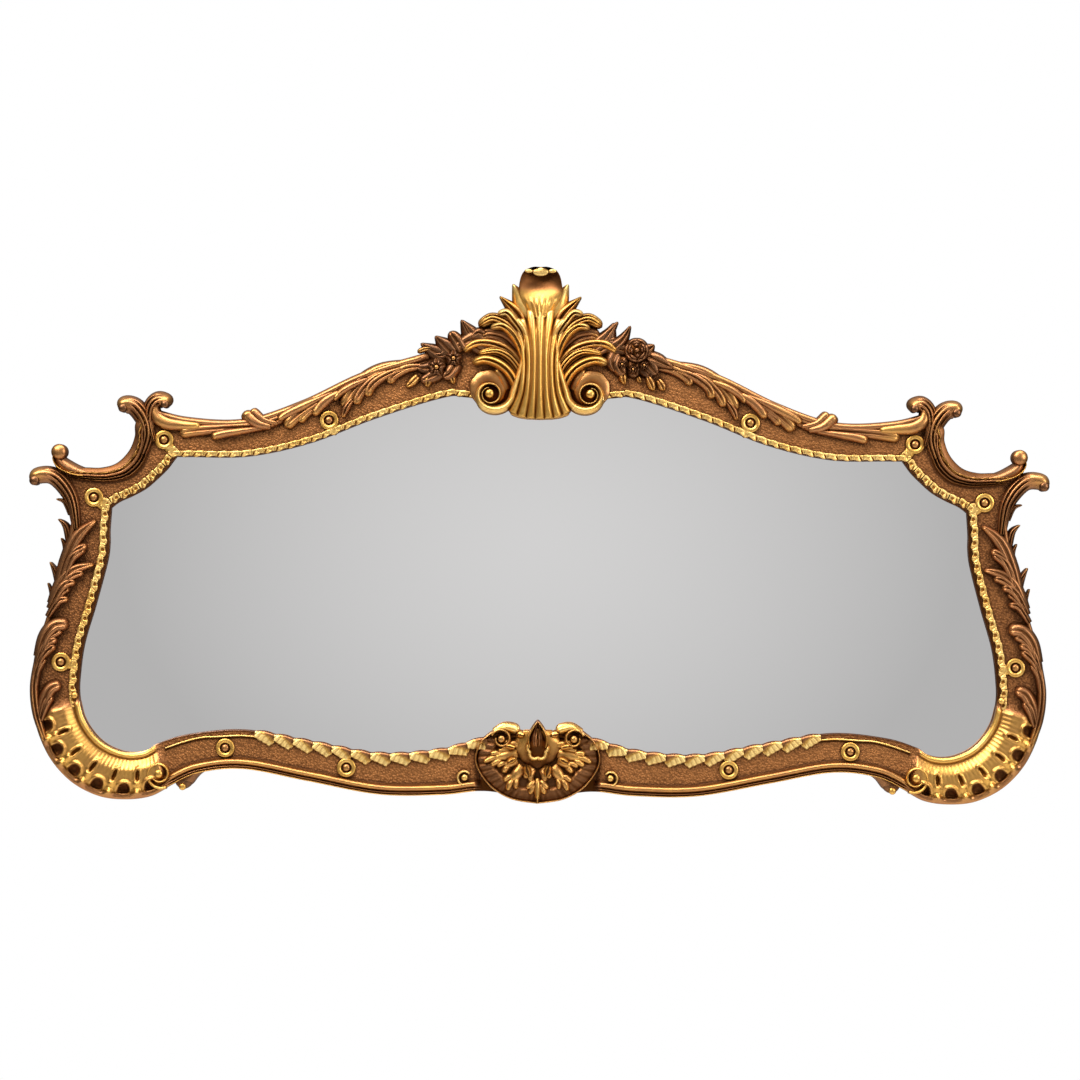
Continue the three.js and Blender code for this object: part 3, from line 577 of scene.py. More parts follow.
def curls(carving):
    """The scrolls that end the shell and the bottom rail, the drop beneath it, and the fillet on its edge
    with its painted shadow line.
    """
    leaf(carving, LEFT, DROP_SCROLL, 2, HORN_BACK, 0.22, flutes=0, curl=0.4)
    for knob, back, top, gilt in BALLS:
        ball(carving, LEFT, knob, back, top, gilt)
    # A dark band beneath the fillet is its painted shadow.
    below = [(out, up - FILLET_DROP, 0.9) for out, up, _ in EDGE_FILLET]
    band(carving, LEFT, EDGE_FILLET, 4, GROUND - 1, 0.84, steps=60)
    band(carving, LEFT, below, 1.2, GROUND - 1, 0.0, steps=60, dark=1.0)
    volute(carving, *RAIL_CURL, CURL_START, GROUND + 8, GROUND - 2, 0.85, 3.2)
    volute(carving, *SHELL_CURL, CURL_START, GROUND + 12, GROUND - 2, 0.75, 4.4)


# How finely a volute is made, a quarter turn and a row of its stem.
QUARTER_STEPS, STEM_STEPS = 14, 10


def volute(carving, centre, turns, start, top, back, gilt, eye, side=LEFT, stem=()):
    """A scroll: a half-round band that winds in to an eye. Each quarter turn has its radius and half width.

    Its first turn starts at an angle in degrees. A stem, if there is one, is drawn as a leaf's rows and runs
    into the band.
    """
    steps = QUARTER_STEPS * (len(turns) - 1)
    radius, half = smooth(turns, steps).T
    angle = np.radians(start + 90 * np.linspace(0, len(turns) - 1, steps + 1))
    run = np.stack([centre[0] - radius * np.cos(angle), centre[1] - radius * np.sin(angle), half], 1)
    if stem:
        run = np.vstack([smooth([*stem, run[0]], STEM_STEPS * len(stem))[:-1], run])
    band(carving, side, run, top - GROUND, back, gilt, steps=len(run) - 1, across=11)
    ball(carving, side, (*centre, eye), back, top + 1, gilt)


# The trunk of the crest as up, half width and rise in mm, then its ribs from the middle out.
TRUNK = [
    (121, 12, 8), (123, 23, 12), (128, 30, 15), (142, 25, 19), (158, 21, 22), (185, 19, 23),
    (208, 17.5, 21), (222, 13, 14),
]
TRUNK_RIBS = [
    [(0, 121, 4.6), (0, 145, 3.6), (0, 185, 3.4), (0, 212, 4.6), (0, 233.5, 4.6)],
    [(9, 121.5, 4.6), (6.5, 147, 3.4), (5.8, 185, 3.2), (7.8, 212, 4.2), (10.2, 232, 4)],
    [(18, 123, 4.6), (12.7, 148, 3.4), (11.3, 180, 3.2), (14.4, 205, 3.8), (18.8, 222, 3.2)],
    [(27, 127, 4.6), (19, 148, 3.6), (16.6, 172, 3.2), (18.4, 196, 3.2), (24, 214, 2.6)],
]
# The leaves of the crest, from the volute up: rise in mm, gilding and flutes, then the leaf.
CREST_LEAVES = [
    (20, 0.72, 1, [
        (27, 131, 4), (23.8, 150, 5.5), (27, 161, 6), (34, 170.5, 6), (45, 177.5, 6), (56.4, 180, 5.5),
        (68, 176.5, 4.2),
    ]),
    (17, 0.64, 2, [
        (20, 136, 3), (17.5, 152, 4.5), (19.5, 166, 6), (25, 176.5, 6.5), (33.5, 184.5, 6.5),
        (45, 188.5, 5.5), (63, 185.5, 3.5),
    ]),
    (15, 0.58, 1, [
        (14, 150, 3), (17, 168, 5), (25, 182, 6.5), (37, 192, 6.5), (52, 196.5, 6), (66, 195.5, 5.5),
        (77.5, 187.5, 4),
    ]),
    (11, 0.4, 1, [(15.5, 158, 4), (18, 175, 5), (26, 190, 7.5), (38, 201, 8), (52, 204, 6), (60, 201, 3)]),
    (22, 0.58, 2, [
        (12, 165, 4), (16, 185, 6), (22.5, 200, 7.5), (31, 212, 8), (40, 218.5, 7), (50, 220.5, 6.5),
        (62, 213.5, 4.5),
    ]),
    (25, 0.76, 1, [
        (13, 164, 3), (16.8, 180, 4), (21.5, 195, 5), (29, 207, 5.5), (39, 213.5, 5), (50, 211.5, 3.4),
    ]),
    (26, 0.86, 1, [(14, 196, 3), (19, 208, 5), (26, 218, 5.5), (34, 226.5, 5), (43, 224, 3.8)]),
    (27, 0.86, 0, [(12, 200, 3), (15.6, 209, 3.6), (20, 216, 4), (25.5, 220.5, 3.4)]),
    (15, 0.55, 1, [(15, 212, 5), (24, 227, 8), (41, 243.5, 1.0)]),
    (15, 0.82, 0, [(10, 220, 7), (18, 237, 10.5), (27.8, 256, 1.0)]),
]
CREST_BLADES = [
    [(46, 190, 6), (62, 200, 8), (78, 219, 1.2)],
    [(50, 184, 5), (64, 192, 7), (76, 203, 4)],
    [(18, 186, 10), (38, 202, 12), (60, 207, 6)],
]
EYE_OF_CREST = (50.4, 146)
CREST_TURNS = [
    (23.7, 4.2), (15.2, 4.9), (11.2, 3.1), (10, 1.5), (10.6, 1.3), (9.4, 1.2), (7.2, 1.1), (5.6, 0.9),
]
# The lobed fan behind the volute, the well in it and the floor of its eye, both painted dark in shade.
FAN_CENTRE = (52, 151.5)
FAN = [(18.6, OVERHANG_BACK), (18.6, GROUND + 3), (17.4, GROUND + 5), (9, GROUND + 6), (1, GROUND + 1)]
WELL_CENTRE = (45, 147)
WELL = [(16, OVERHANG_BACK), (16, GROUND + 1), (1, GROUND + 1)]
EYE_FLOOR = [(12, GROUND), (12, GROUND + 8), (1, GROUND + 7)]
FIELD_LOBE = [(33, 150, 5), (38, 162, 5.5), (45, 171, 4.5)]
# The rib of the trunk that runs down into the volute.
VOLUTE_STEM = [(15.5, 200, 2.2), (17.5, 180, 3.2), (21.6, 163, 4)]


def crest_half(carving):
    """The left leaves and the volute of the crest."""
    for n, rows in enumerate(CREST_BLADES):
        leaf(carving, LEFT, rows, 12 - n, OVERHANG_BACK, 0.2, steps=22, across=11)
    boss(carving, LEFT, FAN_CENTRE, FAN, 0.5, [1, 0.7, 0, 0.1, 0.6], count=48, lobes=9, lobe=0.02)
    # The well and the eye's floor are painted dark in shade.
    boss(carving, LEFT, WELL_CENTRE, WELL, 0.2, [1, 0.9, 0.9])
    boss(carving, LEFT, EYE_OF_CREST, EYE_FLOOR, 0.1, [1, 1, 1])
    leaf(carving, LEFT, FIELD_LOBE, 8, OVERHANG_BACK, 0.46, flutes=0, steps=16)
    for rise, gilt, flutes, rows in CREST_LEAVES:
        leaf(carving, LEFT, rows, rise, OVERHANG_BACK, gilt, flutes, steps=40, across=29, curl=0.16)
    volute(carving, EYE_OF_CREST, CREST_TURNS, 0, GROUND + 20, OVERHANG_BACK, 0.82, 4.4, stem=VOLUTE_STEM)


# Places across a form on the centre line, as shares of its half width.
ACROSS = np.linspace(-1, 1, 41)


def middle_form(carving, rows, depth, foot, gilt, hollow, foot_shade=1):
    """A form on the centre line: rows that start with up and half width, and its depths over their grid."""
    out, up = rows[:, [1]] * ACROSS, rows[:, [0]] + 0 * ACROSS
    gilt = np.pad(np.broadcast_to(gilt, out.shape), ((0, 0), (1, 1)), mode="edge")
    hollow = edged(np.clip(np.broadcast_to(hollow, out.shape), 0, 1), foot_shade)
    stand(carving, MIDDLE, out, up, depth, foot, gilt, hollow)


def crest_middle(carving):
    """The fluted trunk, its ribs with rounded tips, and the cupped shell behind them."""
    rows = smooth(TRUNK, 60)
    rise = rows[:, [2]] * np.sqrt(1 - 0.8 * ACROSS**2)
    # The trunk between its ribs is painted half in shade.
    middle_form(carving, rows, GROUND + rise, OVERHANG_BACK, 0.68, 0.5, 0.5)
    for n, rib in enumerate(TRUNK_RIBS):
        for side in (LEFT, RIGHT)[: 1 if n == 0 else 2]:
            leaf(carving, side, rib, 28 - 1.3 * n, GROUND + 12 - 2 * n, 0.76, flutes=0, steps=44, curl=0.04)
    shell(carving)


# The shell as up and half width, and the lobes of its lip as out, up, half width and half height.
SHELL = [
    (222, 10), (231, 14.5), (237, 18), (243, 20.5), (249, 21.8), (255, 21.4), (261, 20.2), (266, 18.2),
    (269.5, 15), (271.8, 10), (272.4, 5),
]
LIP_LOBES = [(0, 267.6, 8, 4.2), (11.8, 268.4, 4.2, 2), (-11.8, 268.4, 4.2, 2)]
LIP_SHADE = (1, 0.7, 0.4, 0.2, 0, 0, 0, 0.8)


def shell(carving):
    """The cupped shell at the top: it swells at its foot, is dished above and has a thin curled lip.

    Its dished upper part is painted in shade, with duller gilding.
    """
    rows = smooth(SHELL, 50)
    t = np.linspace(0, 1, len(rows))[:, None]
    cupped = step(t, 0.12, 0.6)
    rib = (0.5 + 0.5 * np.cos(math.pi * 7 * ACROSS)) * step(t, 0.35, 0.1)
    rise = (1 - cupped) * (9 + 12 * np.sqrt(1 - 0.85 * ACROSS**2)) + cupped * (7 + 11 * ACROSS**2)
    depth = GROUND + rise + 8 * step(t, 0.88, 0.97) - 1.5 * rib
    # Painted shade on the dished upper part, the flutes at the foot and the sides; the upper gilding is
    # painted duller.
    hollow = 0.95 * step(t, 0.26, 0.52) * step(t, 1.0, 0.93) + 0.3 * rib
    hollow = hollow + 0.4 * step(np.abs(ACROSS), 0.85, 1)
    middle_form(carving, rows, depth, OVERHANG_BACK, 0.74 - 0.48 * step(t, 0.3, 0.55), hollow)
    for out, up, wide, tall in LIP_LOBES:
        rings = [(wide, OVERHANG_BACK)]
        rings += [(wide * math.cos(a), GROUND + 19 + 2.5 * math.sin(a)) for a in DOME]
        boss(carving, MIDDLE, (out, up), rings, 0.95, LIP_SHADE, count=24, squeeze=tall / wide)


SPRAY_LEAVES = {
    LEFT: [
        [(92, 178, 8), (105, 187, 8), (120, 196, 1)], [(86, 184, 8), (96, 194, 8), (105.5, 203.5, 1)],
        [(78, 188, 8), (84, 199, 7), (91, 208, 4)], [(100, 176, 8), (112, 171, 7), (124, 172, 3)],
        [(96, 170, 7), (108, 163, 7), (120, 158, 3)], [(84, 176, 7), (90, 166, 7), (98, 162, 3)],
        [(62, 192, 8), (70, 205, 9), (79.5, 220, 1)], [(58, 196, 7), (68, 200, 9), (88, 190, 3)],
        [(56, 204, 5), (62, 207, 5), (70, 201, 2)], [(92, 188, 6), (98, 184, 5), (108, 184, 2)],
    ],
    RIGHT: [
        [(60, 190, 9), (68, 203, 8), (74, 218, 1)], [(70, 190, 8), (82, 200, 6), (90.5, 215, 1)],
        [(100, 186, 8), (108, 191, 7), (114.5, 196, 1)], [(62, 196, 7), (74, 193, 8), (90, 188, 4)],
        [(76, 188, 7), (72, 178, 7), (76, 168, 3)], [(82, 184, 8), (80, 172, 8), (86, 166, 4)],
        [(96, 182, 8), (94, 170, 8), (98, 164, 4)], [(104, 182, 8), (112, 172, 8), (118, 166, 4)],
        [(108, 184, 7), (120, 179, 7), (134, 172, 2)], [(100, 176, 7), (108, 168, 7), (110, 162, 3)],
    ],
}
# How much broader than drawn the sprays' leaves are.
SPRAY_SPREAD = 1.1
# The small leaves that hang beneath the sprays, gilded paler as a painted highlight where they catch the
# light.
SPRAY_DROPS = {
    LEFT: [
        [(110, 165, 3), (112, 158, 4.6), (113, 152, 2)], [(90, 168, 3), (88, 162, 4), (86, 155.5, 1.6)],
        [(122, 163, 4), (128, 157, 4.5), (134, 152, 2)], [(108, 191, 2), (116, 190, 3), (123, 187, 2)],
    ],
    RIGHT: [
        [(84, 167, 3), (83, 162, 4.6), (85, 156, 1.4)], [(98, 164, 2), (99, 161, 3), (100, 157.5, 1.2)],
        [(108, 164, 3), (111, 157, 4.6), (114, 150, 2.4)], [(118, 161, 3), (122, 155, 4.6), (124, 150, 2.4)],
    ],
}
# The flowers as out, up and radius, then how many petals they have, the petals' lift in mm and the angle of
# the first. A petal's rows lie at shares of the radius and have half widths to match.
BLOSSOMS = {LEFT: [(103.6, 172, 10.5), (86.6, 181, 9.5)], RIGHT: [(82, 176, 6), (104, 175, 6), (93, 171, 6)]}
PETALS, PETAL_LIFT, FIRST_PETAL = 5, 18, 0.3
PETAL = ((0.1, 0.3), (0.5, 0.56), (0.95, 0.54))
ROSE = (96.5, 190, 13)
# The rose's rounds: petals, share of its radius, lift in mm and turn in radians.
ROSE_ROUNDS = ((6, 1.0, 18, 0), (5, 0.74, 22, 0.5), (4, 0.5, 25, 0.2))


def blossom(carving, side, out, up, radius):
    """An open flower: petals round a button."""
    for n in range(PETALS):
        a = 2 * math.pi * n / PETALS + FIRST_PETAL
        c, s = math.cos(a), math.sin(a)
        rows = [(out + radius * k * c, up + radius * k * s, radius * w) for k, w in PETAL]
        leaf(carving, side, rows, PETAL_LIFT, GROUND, 0.06, steps=12, curl=0.25)
    ball(carving, side, (out, up, radius * 0.2), GROUND, GROUND + PETAL_LIFT * 0.95, 0.55)


def rose(carving, side, out, up, radius):
    """A rose: rounds of cupped petals that turn about a heart painted dark in shade."""
    wide = radius * 0.2
    for petals, share, lift, turn in ROSE_ROUNDS:
        reach = radius * share * 0.8
        for n in range(petals):
            spans = 2 * math.pi * n / petals + turn + np.linspace(-0.75, 0.75, 4)
            rows = [(out + reach * math.cos(b), up + reach * math.sin(b), wide) for b in spans]
            leaf(carving, side, rows, lift, GROUND, 0.14, flutes=0, steps=12, curl=0.05)
    core = [(radius * 0.8, GROUND), (radius * 0.7, GROUND + 15), (radius * 0.25, GROUND + 17)]
    boss(carving, side, (out, up), core, 0.08, [1, 0.9, 1])
    ball(carving, side, (out, up, radius * 0.16), GROUND, GROUND + 22, 0.3)


def sprays(carving):
    """The leaves and flowers beside the crest."""
    for side, leaves in SPRAY_LEAVES.items():
        for n, rows in enumerate(leaves):
            rise, gilt = vary(n, 11, 1.7), vary(n, 0.04, 0.07)
            leaf(carving, side, rows, rise, gilt=gilt, steps=16, spread=SPRAY_SPREAD)
        for rows in SPRAY_DROPS[side]:
            leaf(carving, side, rows, 11, gilt=0.56, steps=12, spread=SPRAY_SPREAD)
        for flower in BLOSSOMS[side]:
            blossom(carving, side, *flower)
    rose(carving, RIGHT, *ROSE)


# The thin rim, the leaf and the scroll that it ends in, and the plate's outline.
RIM = [
    (0, -263, 1.1), (25, -259, 1.1), (45, -248, 1.1), (58, -232, 1.1), (62, -218, 1.1), (57, -203, 1.1),
    (47, -194, 1.4), (40, -190.5, 2),
]
RIM_LEAF = [(44, -192, 3), (34, -187.5, 4.5), (25, -189, 5.5), (18, -191.5, 4.5)]
EYE_OF_RIM = (36.3, -199)
RIM_TURNS = [(10, 1.8), (9, 2), (7.6, 1.9), (6.4, 1.7), (5.6, 1.5)]
PLATE = [
    (0, -262), (25, -258), (44, -247), (57, -232), (60, -218), (55, -204), (45, -195), (33, -192), (18, -192),
    (0, -192),
]
PLATE_MIDDLE = -216
# The golden mask of the cartouche, as up and half width.
MASK = [(-191, 14), (-196, 20), (-203, 25), (-210, 25), (-217, 20.5), (-223, 14), (-228, 5)]
# Its collar: centre, radius, half width and half its opening in degrees, then the core in it, painted dark in
# shade.
COLLAR_CENTRE = (0, -209)
COLLAR_RADIUS, COLLAR_HALF, COLLAR_OPENING = 8.2, 2.7, 66
COLLAR_CORE = [(10.6, GROUND), (10.6, GROUND + 20.4), (1, GROUND + 20)]
# Leaf clusters of the cartouche: a stem from the mask, then the lobes it opens into.
RAYS = [
    [(17, -205, 4), (25, -204, 3.4), (30, -203.5, 2)], [(27, -203, 2), (31, -202, 2.4), (35, -203.5, 2)],
    [(24, -206, 2), (30, -206.4, 2.6), (36, -207.5, 2)],
    [(24, -209, 2), (33, -209.5, 2.6), (40, -211.5, 2.2)],
    [(20, -213, 5), (32, -215.5, 4.6), (44, -218, 3)],
    [(36, -214, 2.4), (42, -213, 2.8), (48, -214.5, 2.4)],
    [(38, -217, 2.4), (46, -218.5, 3), (54.5, -222.5, 1.8)],
    [(36, -219.5, 2.4), (42, -222.5, 3), (47, -226, 2)],
    [(20, -220, 4), (28, -223.5, 4), (34, -226, 2.6)],
    [(30, -222.5, 2), (36, -224, 2.8), (41, -226.5, 2.2)],
    [(28, -226, 2.4), (32, -229, 3), (35, -233, 2.2)], [(15, -226, 5), (21, -234, 5), (26, -241, 3.4)],
    [(24, -235, 2.4), (29, -237.5, 3), (34, -241.5, 2.2)],
    [(24, -239, 2.4), (28, -244.5, 3.2), (30, -251, 2)],
    [(20, -238, 2.4), (21.5, -244, 2.8), (21, -249.5, 2)], [(5, -227, 4), (9, -233, 4), (14, -238, 2.4)],
    [(5, -229, 4), (7, -236, 3.4), (6.5, -242, 2.2)], [(3, -240, 3), (7.5, -245.5, 3), (11.5, -248, 2)],
    [(2.5, -243, 3), (5.5, -249.5, 3), (8, -254.5, 2)],
]
# How much broader than drawn the clusters' leaves are.
RAY_SPREAD = 1.22
# The drops between the clusters, painted dark in shade: out, up, half length, half width and turn in
# degrees. Then the ends of a drop as shares of its half length with their half widths, and how much wider
# its gilt border is.
RAY_HOLES = [
    (27.5, -206.5, 4.6, 2.2, 12), (26, -220.5, 4.6, 2.4, -28), (10, -231, 5, 2.8, 76),
    (17.5, -194.5, 3.4, 2.2, 8),
]
HOLE_START, HOLE_END, HOLE_BORDER = (-1, 1), (1.3, 0.8), 1.5
# The drop on the rim's middle, the bud over the mask and the line round it.
RIM_DROP = [[(0, -238, 4), (0, -249, 5), (0, -260, 2)], [(0, -256, 1.4), (0, -260, 1.4), (0, -264, 1)]]
BUD = [[(0, -210, 8), (0, -197, 10.5), (0, -180.5, 1.2)], [(0, -208, 4), (0, -199, 5.5), (0, -187, 1)]]
BUD_LINE = [(8, -207, 1), (9, -197, 1.2), (5, -188, 1.1), (0.4, -181.5, 0.8)]


def plate(carving):
    """The oval plate of the cartouche: a plain floor in a ribbed and scalloped border."""
    half = smooth(PLATE, 90)
    edge = np.vstack([half * [-1, 1], half[::-1][1:-1]])
    share = np.linspace(0, 1, 34)[1:, None]
    angle = np.arctan2(edge[:, 1] - PLATE_MIDDLE, edge[:, 0])
    scallop = 0.72 + 0.035 * np.abs(np.sin(7 * angle))
    ribs = (0.5 + 0.5 * np.cos(46 * angle)) * step(share, scallop, scallop + 0.06)
    dish = 2 + 4 * step(share, scallop - 0.01, scallop + 0.02) - 2 * step(share, 0.8, 0.95) - 1.8 * ribs
    out, up = edge[:, 0] * share, PLATE_MIDDLE + (edge[:, 1] - PLATE_MIDDLE) * share
    rings = np.concatenate([at(MIDDLE, out, up, GROUND + dish), at(MIDDLE, out[-1:], up[-1:], OVERHANG_BACK)])
    # Painted shade in the ribs and in the groove inside the scallops.
    hollow = np.clip(0.25 + 0.6 * ribs + 0.6 * dip(share, scallop - 0.03, 0.07), 0, 1)
    gilt = 0.22 + 0.35 * dip(share, scallop + 0.03, 0.06)
    back = np.ones((1, len(edge)))
    carving.loft(rings, np.vstack([gilt, 0.2 * back]), np.vstack([hollow, back]))


def mask(carving):
    """The golden mask that the leaves fan from, with a scalloped collar round a dark bud.

    The mask is painted in shade on its lower part, its middle and its sides, and its gilding dulls lower
    down.
    The core in the collar is painted dark in shade.
    """
    rows = smooth(MASK, 40)
    t = np.linspace(0, 1, len(rows))[:, None]
    rise = (19 - 12 * t) * np.sqrt(1 - 0.9 * ACROSS**2)
    # Painted shade on the lower part, the middle and the sides of the mask; its gilding dulls lower down.
    hollow = 0.75 * step(t, 0.3, 0.7) + 0.45 * peak(ACROSS, 0, 0.5) + 0.3 * step(np.abs(ACROSS), 0.8, 1)
    middle_form(carving, rows, GROUND + rise, GROUND, 0.74 - 0.34 * t, hollow)
    out, up = COLLAR_CENTRE
    turn = np.radians(np.linspace(90 + COLLAR_OPENING, 450 - COLLAR_OPENING, 49))
    wave = COLLAR_RADIUS + 2 * np.abs(np.cos(2.5 * (turn - math.pi / 2)))
    run = np.stack([out + wave * np.cos(turn), up + wave * np.sin(turn), 0 * turn + COLLAR_HALF], 1)
    boss(carving, MIDDLE, COLLAR_CENTRE, COLLAR_CORE, 0.0, [1, 1, 1])
    band(carving, MIDDLE, run, 24.5, GROUND, 0.8, steps=96, across=9)
    for bud, lift, gilt in zip(BUD, (25, 28), (0.2, 0.4)):
        leaf(carving, MIDDLE, bud, lift, OVERHANG_BACK, gilt, steps=24, across=15)
    for side in (LEFT, RIGHT):
        band(carving, side, BUD_LINE, 26.5, GROUND, 0.7, steps=24)


def cartouche(carving):
    """The cartouche at the foot: a ribbed plate in a thin rim, with leaf clusters round a golden mask."""
    plate(carving)
    for side in (LEFT, RIGHT):
        band(carving, side, RIM, 10, OVERHANG_BACK, 0.56, steps=80, across=9)
        leaf(carving, side, RIM_LEAF, 17, OVERHANG_BACK, 0.8, flutes=0, steps=24, across=13)
        volute(carving, EYE_OF_RIM, RIM_TURNS, 200, GROUND + 15, GROUND, 0.6, 3.6, side)
        for n, rows in enumerate(RAYS):
            leaf(carving, side, rows, vary(n, 12, 0.8), GROUND, 0.58, 0, 14, across=13, spread=RAY_SPREAD)
        for out, up, long, wide, turn in RAY_HOLES:
            c, s = math.cos(math.radians(turn)), math.sin(math.radians(turn))
            drop = (HOLE_START, (0, wide), HOLE_END)
            loop = [(out + long * k * c, up + long * k * s, w) for k, w in drop]
            border = [(o, u, w + HOLE_BORDER) for o, u, w in loop]
            # Each drop is a dark sheet of painted shade over a gilt border.
            band(carving, side, border, 18.5, GROUND, 0.72, steps=12, across=17)
            band(carving, side, loop, 19.6, GROUND, 0.0, steps=12, across=17, dark=1.0)
    for rows in RIM_DROP:
        leaf(carving, MIDDLE, rows, 14, OVERHANG_BACK, 0.62, flutes=0)
    mask(carving)


class Nodes:
    """A node tree that is written by short calls."""

    def __init__(self, tree):
        self.tree = tree

    def add(self, kind, settings=None, **inputs):
        node = self.tree.nodes.new(kind)
        for name, value in (settings or {}).items():
            setattr(node, name, value)
        for name, value in inputs.items():
            self.give(node.inputs[name.replace("_", " ")], value)
        return node

    def take(self, output, kind, settings=None, **inputs):
        return self.add(kind, settings, **inputs).outputs[output]

    def value(self, *kind, **inputs):
        return Value(self, self.take(*kind, **inputs))

    def give(self, socket, value):
        value = getattr(value, "socket", value)
        if isinstance(value, bpy.types.NodeSocket):
            self.tree.links.new(value, socket)
        else:
            socket.default_value = value


def follow_tree():
    """A tree that sets copies of a carved shape at even steps along an edge, each turned to follow it."""
    tree = bpy.data.node_groups.new("shapes along an edge", "GeometryNodeTree")
    for name, kind in (("Edge", "Geometry"), ("Shape", "Object"), ("Count", "Int"), ("Finish", "Material")):
        tree.interface.new_socket(name, in_out="INPUT", socket_type="NodeSocket" + kind)
    tree.interface.new_socket("Carving", in_out="OUTPUT", socket_type="NodeSocketGeometry")
    nodes = Nodes(tree)
    given = nodes.add("NodeGroupInput").outputs
    curve = nodes.take("Curve", "GeometryNodeMeshToCurve", Mesh=given["Edge"])
    spaced = {"Curve": curve, "Count": given["Count"]}
    points = nodes.add("GeometryNodeCurveToPoints", {"mode": "COUNT"}, **spaced).outputs
    axes = {"axis": "X", "pivot_axis": "Y"}
    turn = nodes.take("Rotation", "FunctionNodeAlignRotationToVector", axes, Vector=points["Tangent"])
    shape = nodes.take("Geometry", "GeometryNodeObjectInfo", Object=given["Shape"])
    inputs = {"Points": points["Points"], "Instance": shape, "Rotation": turn}
    copies = nodes.take("Instances", "GeometryNodeInstanceOnPoints", **inputs)
    real = nodes.take("Geometry", "GeometryNodeRealizeInstances", Geometry=copies)
    done = nodes.take("Geometry", "GeometryNodeSetMaterial", Geometry=real, Material=given["Finish"])
    nodes.add("NodeGroupOutput", Carving=done)
    return tree


def set_along(name, tree, path, shape, count, finish):
    """The mesh of copies of a shape along a path of points in metres."""
    mesh = bpy.data.meshes.new(name + " path")
    mesh.from_pydata([tuple(p) for p in path], [(n, n + 1) for n in range(len(path) - 1)], [])
    holder = bpy.data.objects.new(name + " path", mesh)
    bpy.context.scene.collection.objects.link(holder)
    modifier = holder.modifiers.new("carving", "NODES")
    modifier.node_group = tree
    given = {"Shape": shape, "Count": count, "Finish": finish}
    for item in tree.interface.items_tree:
        if item.name in given:
            modifier[item.identifier] = given[item.name]
    bpy.context.view_layer.update()
    made = bpy.data.meshes.new_from_object(holder.evaluated_get(bpy.context.evaluated_depsgraph_get()))
    bpy.data.objects.remove(holder)
    return made


def carving_of(mesh):
    """A mesh with the three marks, as a carving."""
    carving = Carving()
    points = np.empty(len(mesh.vertices) * 3)
    mesh.vertices.foreach_get("co", points)
    marks = np.zeros((len(mesh.vertices), 3))
    for n, mark in enumerate(MARKS):
        values = np.zeros(len(mesh.vertices))
        if mark in mesh.attributes:
            mesh.attributes[mark].data.foreach_get("value", values)
        marks[:, n] = values
    carving.points = [points.reshape(-1, 3)]
    carving.faces = [list(p.vertices) for p in mesh.polygons]
    carving.marks, carving.count = [marks], len(mesh.vertices)
    return carving


def fold(name, pitch, tall, rise, notch, pit, finish):
    """One fold of the ribbon about the origin, in mm: along x, with the glass at +z, standing to -y."""
    u = np.linspace(-1, 1, 25)[:, None]
    w = np.linspace(-1, 1, 13)
    slant = u - 0.5 - 0.34 * w
    waved = np.where(w > 0, 1 + 0.26 * np.cos(np.pi * (u - 0.35)), 1 + 0.14 * np.cos(np.pi * (u + 0.4)))
    z = tall / 2 * w * waved
    cut = peak(slant, 0, 0.11) * step(w, -0.55, 0.1)
    eye = np.exp(-(((u + 0.3) / 0.32) ** 4) - ((w - 0.25) / 0.5) ** 4)
    swell = 0.82 + 0.18 * np.cos(np.pi * slant + np.pi)
    height = rise * (0.35 + 0.65 * np.sqrt(1 - w**6)) * swell - 2.8 * notch * cut - 3.2 * pit * eye
    # Painted shade in the notches, in the eyes and along the edges.
    hollow = 1.2 * notch * cut + 1.7 * pit * eye + 0.6 * step(np.abs(w), 0.85, 1) + 0 * u
    return folded(name, pitch / 2 * u + 0 * z, z, height, 0.9 + 0 * z, hollow, finish)


def flap(name, pitch, tall, rise, hatches, finish):
    """One broad hatched flap of the lower ribbon, set out as a fold is. Its end drops away from the glass."""
    u = np.linspace(-1, 1, 33)[:, None]
    w = np.linspace(-1, 1, 13)
    along = (u + 1) / 2
    low = 0.3 + 0.7 * np.minimum(along / 0.8, 1 - 0.75 * (along - 0.8) / 0.2)
    high = 0.72 + 0.28 * np.sin(np.pi * np.clip(along * 1.1, 0, 1))
    z = tall / 2 * np.where(w > 0, w * high, w * 2 * low)
    # Painted shade: the end by the next flap goes dull and dark, and the hatches and edges are darkened.
    dusk = step(u + 0.9 * w, -0.1, 0.9)
    hatch = (0.5 + 0.5 * np.cos(np.pi * hatches * (u - 0.3 * w))) * (1 - dusk)
    height = (rise * (1 - 0.7 * along) * np.sqrt(1 - w**6) + 1) - 1.1 * hatch
    hollow = 0.7 * hatch**2 + 0.5 * step(np.abs(w), 0.85, 1) + 0.3 * dusk
    return folded(name, pitch / 2 * u + 0 * z, z, height, 1 - 0.6 * dusk, hollow, finish)


def folded(name, x, z, height, gilt, hollow, finish):
    """A relief over a grid as a closed shape, as a mesh object."""
    front = np.stack([x, -height, z], -1)
    low = np.stack([x, 0 * x + 5, z], -1)[:, [0, -1]]
    rings = np.concatenate([low[:, :1], front, low[:, 1:]], 1) / 1000
    carving = Carving()
    carving.loft(rings, edged(np.clip(gilt, 0, 1)), edged(np.clip(hollow, 0, 1), 1))
    return carving.piece(name, finish)


# The ribbon along the sight edge: pitch, height, rise and how far its middle lies from the edge, in mm, then
# how deep its notches and its eyes are and how much painted shade they take, or how many hatches a flap of
# the lower ribbon has.
RIBBONS = {
    "top": (fold, 16.5, 8.6, 4.2, 5.4, (1.0, 0.35)),
    "scroll": (fold, 14.0, 10.5, 4.0, 8.4, (0.7, 0.8)),
    "side": (fold, 16.6, 10.0, 4.0, 9.6, (0.45, 1.0)),
    "bottom": (flap, 27.4, 14.0, 6.0, 5.5, (4,)),
}
